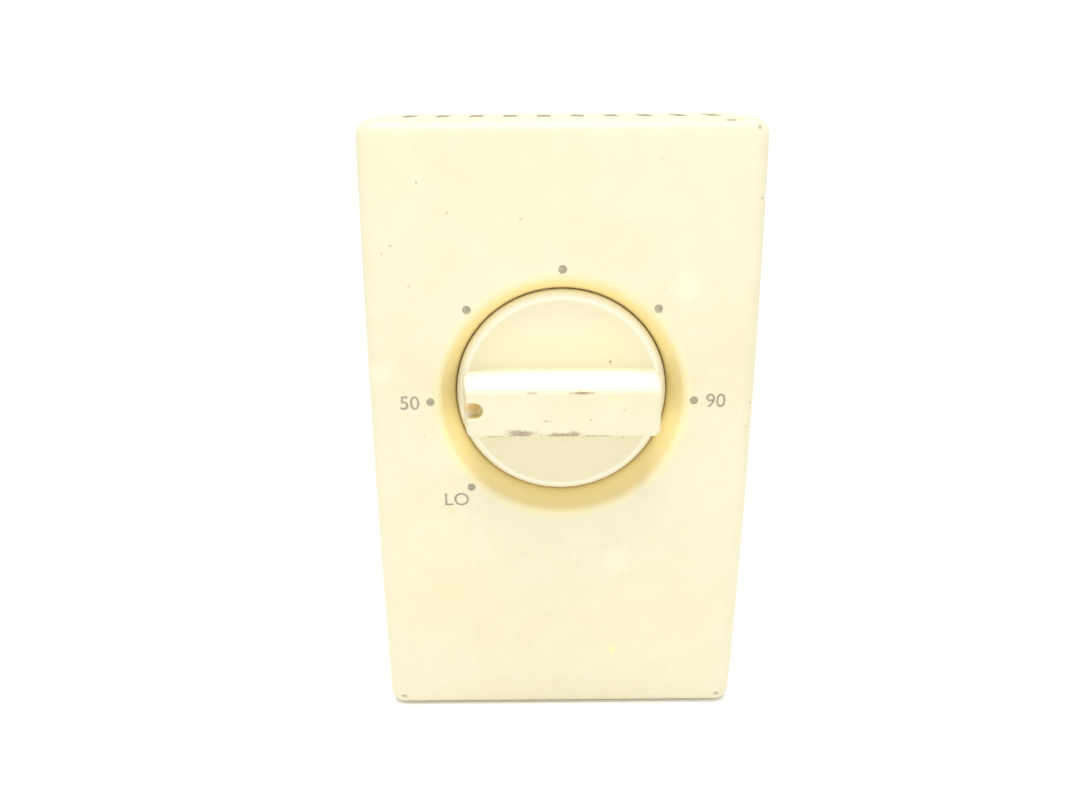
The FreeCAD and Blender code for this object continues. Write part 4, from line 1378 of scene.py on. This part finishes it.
@dataclass
class DialShaft:
    """Steel shaft: helical range screw at the back, clip groove, and a flat for the knob at the front."""

    radius: float = 3.0 * MM
    thread: float = 2.5 * MM
    shoulder: float = 16.6 * MM
    groove: tuple[float, float, float] = (19.7 * MM, 20.3 * MM, 2.3 * MM)
    flat_start: float = 22.0 * MM
    flat: float = 2.0 * MM
    pitch: float = 2.0 * MM
    thread_depth: float = 0.32 * MM
    tip_round: float = 0.5 * MM
    steps: int = 72

    def build(self) -> bpy.types.Object:
        """Rings along the depth, closed by a flat face at each end.

        On the screw the radius is thread - thread_depth * (1 - crest), where crest is a rounded triangle of
        the depth less the helix's rise. In front it is the plain radius, less in the groove, and eased at the
        tip. Past flat_start no point is higher than the flat.
        """
        back, front, _ = extent_of("dial_shaft")
        turn = full_turn(self.steps)
        screw = np.linspace(back, self.shoulder, 52)
        phase = screw[:, None] / self.pitch - turn[None] / (2 * math.pi)
        crest = np.clip((np.abs((phase % 1.0) * 2 - 1) - 0.15) / 0.7, 0, 1)
        start = np.clip((screw - back) / (0.5 * self.pitch), 0.0, 1.0)[:, None]
        reach = (self.thread - 0.35 * MM * (1 - start)) - self.thread_depth * (1 - crest)
        groove_start, groove_end, groove_radius = self.groove
        ease = self.tip_round * (1 - np.sin(np.linspace(0, math.pi / 2, 6)))
        plain = [(self.shoulder, self.radius), (groove_start, self.radius), (groove_start, groove_radius),
                 (groove_end, groove_radius), (groove_end, self.radius), (self.flat_start, self.radius)]
        inner = self.radius - self.tip_round
        round_off = np.sqrt(np.maximum(0.0, self.tip_round ** 2 - (self.tip_round - ease) ** 2))
        plain += [(self.flat_start + 0.001 * MM, self.radius)]
        plain += list(zip((front - ease).tolist(), (inner + round_off).tolist()))
        depth = np.concatenate([screw, [d for d, _ in plain]])
        reach = np.concatenate([reach, np.array([r for _, r in plain])[:, None] * np.ones((1, self.steps))])
        x = reach * np.cos(turn)
        z = reach * np.sin(turn)
        z = np.where(depth[:, None] > self.flat_start, np.minimum(z, self.flat), z)
        rings = np.stack([x, np.broadcast_to(-depth[:, None], x.shape), z + DIAL_Z], -1)
        piece = make_object("threaded_dial_shaft", rings.reshape(-1, 3), tube_faces(len(rings), self.steps))
        sharpen(piece, 40.0)
        return piece


def dome(radius: float, foot: float, height: float, steps: int = 6) -> list[tuple[float, float]]:
    """Profile of a domed head: upright edge to foot height, then a quarter ellipse to the top."""
    turn = np.linspace(0, math.pi / 2, steps + 1)
    shoulder = radius * 0.45
    return [(radius - shoulder * (1 - math.cos(a)), foot + (height - foot) * math.sin(a)) for a in turn]


@dataclass
class SlottedScrew:
    """Slotted screw: domed head with a cut across it, and a shank with a helical thread."""

    name: str
    seat: tuple[float, float, float]
    head: float
    height: float
    shank: float
    length: float
    slot_turn: float
    pitch: float = 0.7 * MM

    def build(self) -> bpy.types.Object:
        """Head and shank are one grid of rings about the axis, from the tip to the middle of the head.

        Along the shank the radius is shank - depth * (1 - crest), with the crest a rounded triangle of the
        distance less the helix's rise. On the head, points nearer than the slot's half width to a line
        through the axis drop by the slot's depth; the rows there are close enough to give it upright sides.
        """
        along, side, other = Axis.OUT.frame()
        turn = full_turn(72)
        rows = max(12, round(self.length / self.pitch * 8))
        rise = np.linspace(-self.length, 0.0, rows)
        phase = rise[:, None] / self.pitch - turn[None] / (2 * math.pi)
        crest = np.clip((np.abs((phase % 1.0) * 2 - 1) - 0.18) / 0.64, 0, 1)
        taper = np.clip((rise + self.length) / (0.5 * self.pitch), 0.55, 1.0)[:, None]
        shank = self.shank * taper - 0.12 * self.shank * (1 - crest)
        profile = np.array([(self.head, 0.0), *dome(self.head, self.height * 0.4, self.height)])
        inner = profile[-1, 0] * np.linspace(1, 0, 15)[1:]
        head = np.concatenate([profile, np.stack([inner, np.full(len(inner), self.height)], -1)])
        reach = np.concatenate([np.zeros((1, len(turn))), shank, np.repeat(head[:, :1], len(turn), 1)])
        height = np.concatenate([rise[:1, None], rise[:, None], head[:, 1:]]) * np.ones((1, len(turn)))
        across = reach * np.sin(turn - self.slot_turn)
        half = 0.13 * self.head
        deep = np.clip((half * 1.25 - np.abs(across)) / (half * 0.25), 0, 1) * self.height * 0.5
        height = np.where(height > self.height * 0.3, np.maximum(height - deep, self.height * 0.32), height)
        points = (np.array(self.seat) + height[..., None] * along
                  + reach[..., None] * (np.cos(turn)[:, None] * side + np.sin(turn)[:, None] * other))
        return make_object(self.name, points.reshape(-1, 3), grid_faces(len(reach), len(turn), closed=True))


@dataclass
class Mechanism:
    """Range screw, capsule, springs, contacts, rivets and screws in full detail."""

    finishes: dict[str, bpy.types.Material]
    switch_z: float = -25.0 * MM
    contact_x: float = 9.0 * MM

    def turned(self, name: str, profile: Sequence[tuple[float, float]], at: tuple[float, float], body: str,
               slot: str, nodes: Sequence[str], steps: int = 64) -> None:
        """Lathe piece that points out of the wall.

        Args:
            name: name of the piece.
            profile: radius and depth of each profile point, in millimetres from the wall.
            at: x and z of its axis in metres.
            body: CAD body it rides on.
            slot: material slot.
            nodes: CAD nodes it stands for.
            steps: points round the circle.
        """
        scaled = [(r * MM, d * MM) for r, d in profile]
        piece = lathe(name, scaled, np.array([at[0], 0.0, at[1]]), Axis.OUT, steps)
        sharpen(piece, 35.0)
        finish_piece(piece, body, self.finishes[slot], nodes)

    def capsule(self) -> None:
        """Vapour capsule: two pressed shells with a rolled rim and rings of ripples on the front.

        The front falls from its flat middle to the rim by a smooth step, and between the middle and the
        shoulder it carries ripples of 0.16 mm * (cos - 1), faded in and out.
        """
        back, front, radius = (size / MM for size in extent_of("capsule"))
        rim_middle = back + 0.9
        reach = np.linspace(0, radius - 0.55, 70)
        step = np.clip((reach - (radius - 2.4)) / 1.7, 0, 1)
        step = step ** 2 * (3 - 2 * step)
        fade = np.clip((radius - 2.8 - reach) / 0.8, 0, 1) * np.clip((reach - 4.2) / 0.8, 0, 1)
        ripple = 0.12 * fade * (np.cos((reach - 4.2) * 2 * math.pi / 1.9) - 1.0)
        face = front - (front - rim_middle - 0.5) * step + ripple
        turn = np.linspace(math.pi / 2, -math.pi / 2, 9)
        rim = [(radius - 0.5 + 0.5 * math.cos(a), rim_middle + 0.5 * math.sin(a)) for a in turn]
        profile = list(zip(reach.tolist(), face.tolist())) + rim + [(radius - 1.0, back), (0.0, back)]
        self.turned("rippled_capsule", profile, (0.0, DIAL_Z), "housing", "capsule_brass", ["capsule"], 96)

    def springs(self) -> None:
        """Range spring round the shaft and the spring under the blade."""
        plan = (("range_spring", 0.35 * MM, 6.0, (0.0, DIAL_Z), "nut", "nut_slide", 0.76, 0.26 * MM),
                ("blade_spring", 0.20 * MM, 7.0, (0.0, self.switch_z), "blade", "blade_tilt", 0.83, 0.0))
        for node, wire, turns, (x, z), body, joint, keep, room in plan:
            back, end, outer = extent_of(node)
            start = back + room
            piece = Coil(node + "_coil", (x, 0.0, z), start, end, outer - wire, wire, turns).build()
            finish_piece(piece, body, self.finishes["spring_steel"], [node])
            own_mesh(piece)

    def rivets(self) -> None:
        """Domed contacts and the two rivets of the capsule's seat."""
        place = (self.contact_x, self.switch_z)
        moving = [(0.0, 8.3), (0.5, 8.34), (1.0, 8.46), (1.4, 8.7), (1.6, 9.0), (1.6, 9.6), (0.7, 9.6),
                  (0.7, 10.0), (1.1, 10.0), (1.0, 10.22), (0.7, 10.3), (0.0, 10.3)]
        fixed = [(0.0, 5.2), (0.8, 5.2), (0.8, 6.2), (1.6, 6.2), (1.6, 6.55), (1.4, 6.78), (1.0, 6.9),
                 (0.5, 6.95), (0.0, 6.96)]
        self.turned("moving_contact_rivet", moving, place, "blade", "silver", ["moving_contact"])
        self.turned("fixed_contact_rivet", fixed, place, "housing", "silver", ["fixed_contact"])
        rivet = [(0.0, 0.1), (1.2, 0.1), (1.2, 2.3), (2.1, 2.3), *dome(2.1, 2.75, 3.1), (0.0, 3.1)]
        for name, rise in (("seat_rivet_bottom", -14.0 * MM), ("seat_rivet_top", 14.0 * MM)):
            self.turned(name, rivet, (0.0, DIAL_Z + rise), "housing", "screw_steel", ["seat_rivets"], 40)

    def screws(self) -> None:
        """Slotted screws of the switch, its terminals, its lid and the earth, and the adjusting screw."""
        switch = self.switch_z / MM
        plan = [
            ("terminal_screw_line", (-19.0, switch), 3.1, 2.2, 1.6, 10.2, 3.5, "terminal_screws"),
            ("terminal_screw_load", (19.0, switch), 3.1, 2.2, 1.6, 10.2, 3.5, "terminal_screws"),
            ("switch_screw_low", (-20.5, switch - 8.2), 2.6, 1.7, 1.4, 8.0, 0.1, "switch_mount_screws"),
            ("switch_screw_high", (20.5, switch + 8.2), 2.6, 1.7, 1.4, 8.0, 0.1, "switch_mount_screws"),
            ("lid_screw_low", (-12.2, switch - 9.3), 1.5, 1.0, 0.8, 14.0, 7.4, "switch_cover_screws"),
            ("lid_screw_high", (12.2, switch + 9.3), 1.5, 1.0, 0.8, 14.0, 7.4, "switch_cover_screws"),
            ("earth_screw", (-24.0, -46.0), 3.8, 2.2, 1.9, 2.6, 0.1, "ground_screw"),
            ("adjusting_screw", (0.0, switch), 2.4, 1.4, 1.25, 19.3, 15.0, "calibration_screw"),
        ]
        for number, (name, (x, z), head, height, shank, seat, tip, node) in enumerate(plan):
            body = "lever" if node == "calibration_screw" else "housing"
            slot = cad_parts[node].material_slots[0].material.name.split(".")[0]
            place = (x * MM, -seat * MM, z * MM)
            piece = SlottedScrew(name, place, head * MM, height * MM, shank * MM, (seat - tip) * MM,
                                 slot_turn=0.4 + 0.9 * number).build()
            sharpen(piece, 40.0)
            finish_piece(piece, body, self.finishes[slot], [node])

    def build(self) -> None:
        """Builds every detailed piece of the mechanism."""
        finish_piece(DialShaft().build(), "dial", self.finishes["shaft_steel"], ["dial_shaft"])
        self.capsule()
        self.springs()
        self.rivets()
        self.screws()


# ------------------------------------------------------------------ finishes

CASE_STAINS = (
    Mark(0.0103, -0.0440, 0.0013, 0.80),
    Mark(-0.0060, 0.0460, 0.0160, 0.05),
    Mark(-0.0240, -0.0250, 0.0240, 0.05),
    Mark(0.0180, -0.0360, 0.0240, 0.05),
    Mark(-0.0290, 0.0520, 0.0090, 0.08),
)
CASE_RUBS = (
    Mark(0.0215, 0.0305, 0.0045, 0.18),
    Mark(0.0105, -0.0225, 0.0040, 0.15),
    Mark(-0.0325, 0.0150, 0.0035, 0.15),
)
CASE_SPOTS = (
    Mark(-0.0248, 0.0480, 0.00035, 0.85),
    Mark(-0.0198, 0.0430, 0.00030, 0.80),
    Mark(0.0340, 0.0450, 0.00030, 0.75),
    Mark(0.0340, 0.0088, 0.00035, 0.80),
    Mark(-0.0322, -0.0556, 0.00055, 0.80, 1.8),
    Mark(0.0322, -0.0556, 0.00050, 0.80, 1.6),
    Mark(0.0284, 0.0577, 0.00030, 0.90, 7.0),
    Mark(0.0329, 0.0566, 0.00060, 0.75),
)
KNOB_STAINS_AND_NOTCH_SHADE = (
    Mark(0.0080, 0.0185, 0.0055, 0.14),
    Mark(0.0095, 0.0118, 0.0012, 0.14, 3.0),
    # Notch: yellow-brown that is partly soiling and partly painted shade in the recess.
    Mark(-0.0156, 0.0101, 0.0023, 1.0),
)
# Dark spot in the notch: painted shade in the recess together with soiling.
KNOB_NOTCH_SHADE_AND_DIRT = (
    Mark(-0.0157, 0.0101, 0.0021, 0.60),
)
KNOB_SPOTS = (
    Mark(0.0089, 0.0157, 0.00035, 0.95),
    Mark(0.0032, 0.0134, 0.00036, 0.95, 10.0),
    Mark(-0.0054, 0.0134, 0.00028, 0.70, 7.0),
    Mark(-0.0072, 0.0060, 0.00085, 0.95, 4.2),
    Mark(-0.0002, 0.0057, 0.00070, 0.95, 6.0),
    Mark(0.0060, 0.0053, 0.00032, 0.85, 14.0),
    Mark(-0.0120, 0.0053, 0.00030, 0.80, 14.0),
    Mark(-0.0030, 0.0083, 0.00024, 0.60, 3.0),
    Mark(0.0105, 0.0102, 0.00022, 0.55),
)


def finish_table() -> dict[str, IvoryFinish | MetalFinish | MouldedFinish]:
    """Finish of each material slot of the record."""
    steel, dull = (0.62, 0.62, 0.60), (0.40, 0.39, 0.36)
    finishes = [
        # Cover: the halo is painted shade round the well together with yellowing.
        IvoryFinish("cover_ivory", stains=CASE_STAINS, rubs=CASE_RUBS, spots=CASE_SPOTS,
                                   halo_inner=0.0203, halo_outer=0.0240, halo_strength=0.85,
                                   crevice_strength=0.12),
        # Knob: painted light on the disc behind the grip, a painted highlight on the rim and painted light on
        # the grip's upper flank.
        IvoryFinish("knob_ivory", stains=KNOB_STAINS_AND_NOTCH_SHADE, soiled_and_shaded=KNOB_NOTCH_SHADE_AND_DIRT, spots=KNOB_SPOTS,
                                  crevice_reach=0.002, crevice_strength=0.22, disc_light_depth=0.0276,
                                  painted_rim_radius=0.0174, flank=(0.0275, float(-KNOB_LOW[1]) - 0.0005)),
        MetalFinish("zinc_steel", (0.66, 0.67, 0.68), (0.48, 0.49, 0.50), 0.36, (1.0, 1.0, 1.0), 0.2),
        MetalFinish("bracket_steel", (0.60, 0.60, 0.58), dull, 0.38, (1.0, 1.0, 0.05)),
        MetalFinish("lever_steel", steel, dull, 0.33, (1.0, 1.0, 0.05)),
        MetalFinish("shaft_steel", steel, dull, 0.24, (0.05, 1.0, 0.05)),
        MetalFinish("spring_steel", (0.50, 0.50, 0.49), (0.30, 0.28, 0.25), 0.3),
        MetalFinish("screw_steel", (0.64, 0.63, 0.58), (0.44, 0.40, 0.30), 0.3),
        MetalFinish("brass", (0.74, 0.56, 0.25), (0.47, 0.32, 0.14), 0.3),
        MetalFinish("terminal_brass", (0.72, 0.57, 0.29), (0.45, 0.33, 0.16), 0.36),
        MetalFinish("capsule_brass", (0.76, 0.58, 0.27), (0.52, 0.36, 0.16), 0.34),
        MetalFinish("bronze_strip", (0.66, 0.43, 0.24), (0.42, 0.25, 0.13), 0.3),
        MetalFinish("copper", (0.80, 0.42, 0.27), (0.45, 0.22, 0.13), 0.32),
        MetalFinish("silver", (0.82, 0.81, 0.78), (0.42, 0.38, 0.33), 0.26),
        MouldedFinish("phenolic", (0.028, 0.020, 0.016), (0.14, 0.10, 0.07)),
        MouldedFinish("plunger_plastic", (0.72, 0.70, 0.62), (0.82, 0.80, 0.74), 0.42, 0.3),
        MouldedFinish("ground_green", (0.02, 0.22, 0.07), (0.16, 0.42, 0.20), 0.34, 0.3),
        MouldedFinish("fibre_sheet", (0.15, 0.11, 0.075), (0.40, 0.32, 0.24), 0.72, 0.7, 2200.0,
                                     (1.0, 1.0, 0.25)),
    ]
    return {finish.name: finish for finish in finishes}


def dress_nodes(finishes: dict[str, bpy.types.Material]) -> None:
    """Gives every CAD node that is carried over the finish of its slot."""
    for name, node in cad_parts.items():
        for place in node.material_slots:
            wanted = place.material.name.split(".")[0] if place.material else ""
            if wanted in finishes:
                place.material = finishes[wanted]
                LOG.info("%s carries %s", name, wanted)


# ------------------------------------------------------------------ studio

@dataclass
class Studio:
    """Plain pale floor that turns up into a backdrop, soft lights and the camera."""

    floor: float = float(CASE_LOW[2])
    sensor: float = 36.0
    lens: float = 30.58
    distance: float = 0.1633
    pitch: float = 19.0
    yaw: float = -0.27
    roll: float = -0.32
    aim: tuple[float, float, float] = (-0.00519, -0.031, 0.0098)

    def backdrop(self) -> bpy.types.Object:
        """Floor and backdrop in one sweep: flat, then a quarter circle, then upright."""
        reach, bend, top = 1.4, 0.5, 2.2
        turn = np.linspace(0, math.pi / 2, 17)
        line = np.concatenate([
            [[-2.0, 0.0]],
            np.stack([reach + bend * np.sin(turn), bend * (1 - np.cos(turn))], -1),
            [[reach + bend, top]],
        ])
        across = np.linspace(-3.0, 3.0, 3)
        height = self.floor + line[:, 1, None]
        points = np.stack(np.broadcast_arrays(across[None, :], line[:, 0, None], height), -1)
        piece = make_object("studio_floor", points.reshape(-1, 3), grid_faces(len(line), 3, closed=False))
        flip_if_inward(piece, Vector((0, 0, 1)), Vector((0, -0.5, self.floor)))
        material, graph, shader, place = start_material("studio_paper")
        shade = graph.noise(place, 9.0, 3.0, 0.5)
        graph.put(shader, "Base Color", graph.mix(graph.remap(shade, 0.3, 0.7), rgba((0.93, 0.93, 0.925)),
                                                  rgba((0.95, 0.95, 0.95))))
        shader.inputs["Roughness"].default_value = 0.9
        piece.data.materials.append(material)
        return piece

    def light(self, name: str, place: Sequence[float], aim: Sequence[float], size: float, power: float,
              colour: Colour = (1.0, 1.0, 1.0)) -> bpy.types.Object:
        """Square soft light.

        Args:
            name: name of the light.
            place: where it stands, in metres.
            aim: the point it faces.
            size: side of the square.
            power: power in watts.
            colour: colour of the light.

        Returns:
            The light object.
        """
        lamp = bpy.data.lights.new(name, "AREA")
        lamp.size = size
        lamp.energy = power
        lamp.color = colour
        holder = bpy.data.objects.new(name, lamp)
        holder.location = place
        holder.rotation_euler = (Vector(aim) - Vector(place)).to_track_quat("-Z", "Y").to_euler()
        bpy.context.scene.collection.objects.link(holder)
        return holder

    def camera(self) -> bpy.types.Object:
        """Camera a little above the dial, looking down on the upright case."""
        pitch, yaw, roll = (math.radians(v) for v in (self.pitch, self.yaw, self.roll))
        back = np.array([math.sin(yaw) * math.cos(pitch), -math.cos(yaw) * math.cos(pitch), math.sin(pitch)])
        right = np.cross([0.0, 0.0, 1.0], back)
        right /= np.linalg.norm(right)
        up = np.cross(back, right)
        turned = right * math.cos(roll) + up * math.sin(roll)
        upright = up * math.cos(roll) - right * math.sin(roll)
        view = Matrix.Identity(4)
        for column, axis in enumerate((turned, upright, back)):
            for row in range(3):
                view[row][column] = axis[row]
        place = np.array(self.aim) + self.distance * back
        lens = bpy.data.cameras.new("camera")
        lens.lens = self.lens
        lens.sensor_width = self.sensor
        lens.clip_start = 0.01
        lens.clip_end = 20.0
        holder = bpy.data.objects.new("camera", lens)
        holder.matrix_world = Matrix.Translation(place.tolist()) @ view
        bpy.context.scene.collection.objects.link(holder)
        bpy.context.scene.camera = holder
        return holder

    def world(self) -> None:
        """Even pale surroundings."""
        world = bpy.data.worlds.new("studio")
        world.use_nodes = True
        sky = world.node_tree.nodes["Background"]
        sky.inputs["Color"].default_value = (1.0, 1.0, 1.0, 1.0)
        sky.inputs["Strength"].default_value = 1.0
        bpy.context.scene.world = world

    def build(self) -> None:
        """Builds the studio: backdrop, lights, camera, world and view transform."""
        pieces = [
            self.backdrop(),
            self.light("key_light", (-0.05, -0.30, 1.10), (0, -0.02, 0.0), 0.50, 10.0, (1.0, 0.995, 0.98)),
            self.light("fill_light", (0.10, -1.30, 0.25), (0, -0.02, 0.0), 1.0, 2.0),
            self.camera(),
        ]
        self.world()
        bpy.context.scene.view_settings.view_transform = "Standard"


# ------------------------------------------------------------------ build order


def main() -> None:
    """Builds finishes, case, knob and print, dresses the mechanism and sets the studio."""
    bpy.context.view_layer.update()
    finishes = {slot: finish.build() for slot, finish in finish_table().items()}
    crown = Crown()
    Case(crown).build(finishes["cover_ivory"])
    Knob().build(finishes["knob_ivory"])
    DialPrint(crown).build(InkFinish("dial_ink").build())
    Mechanism(finishes).build()
    dress_nodes(finishes)
    Studio().build()


if __name__ == "__main__":
    main()
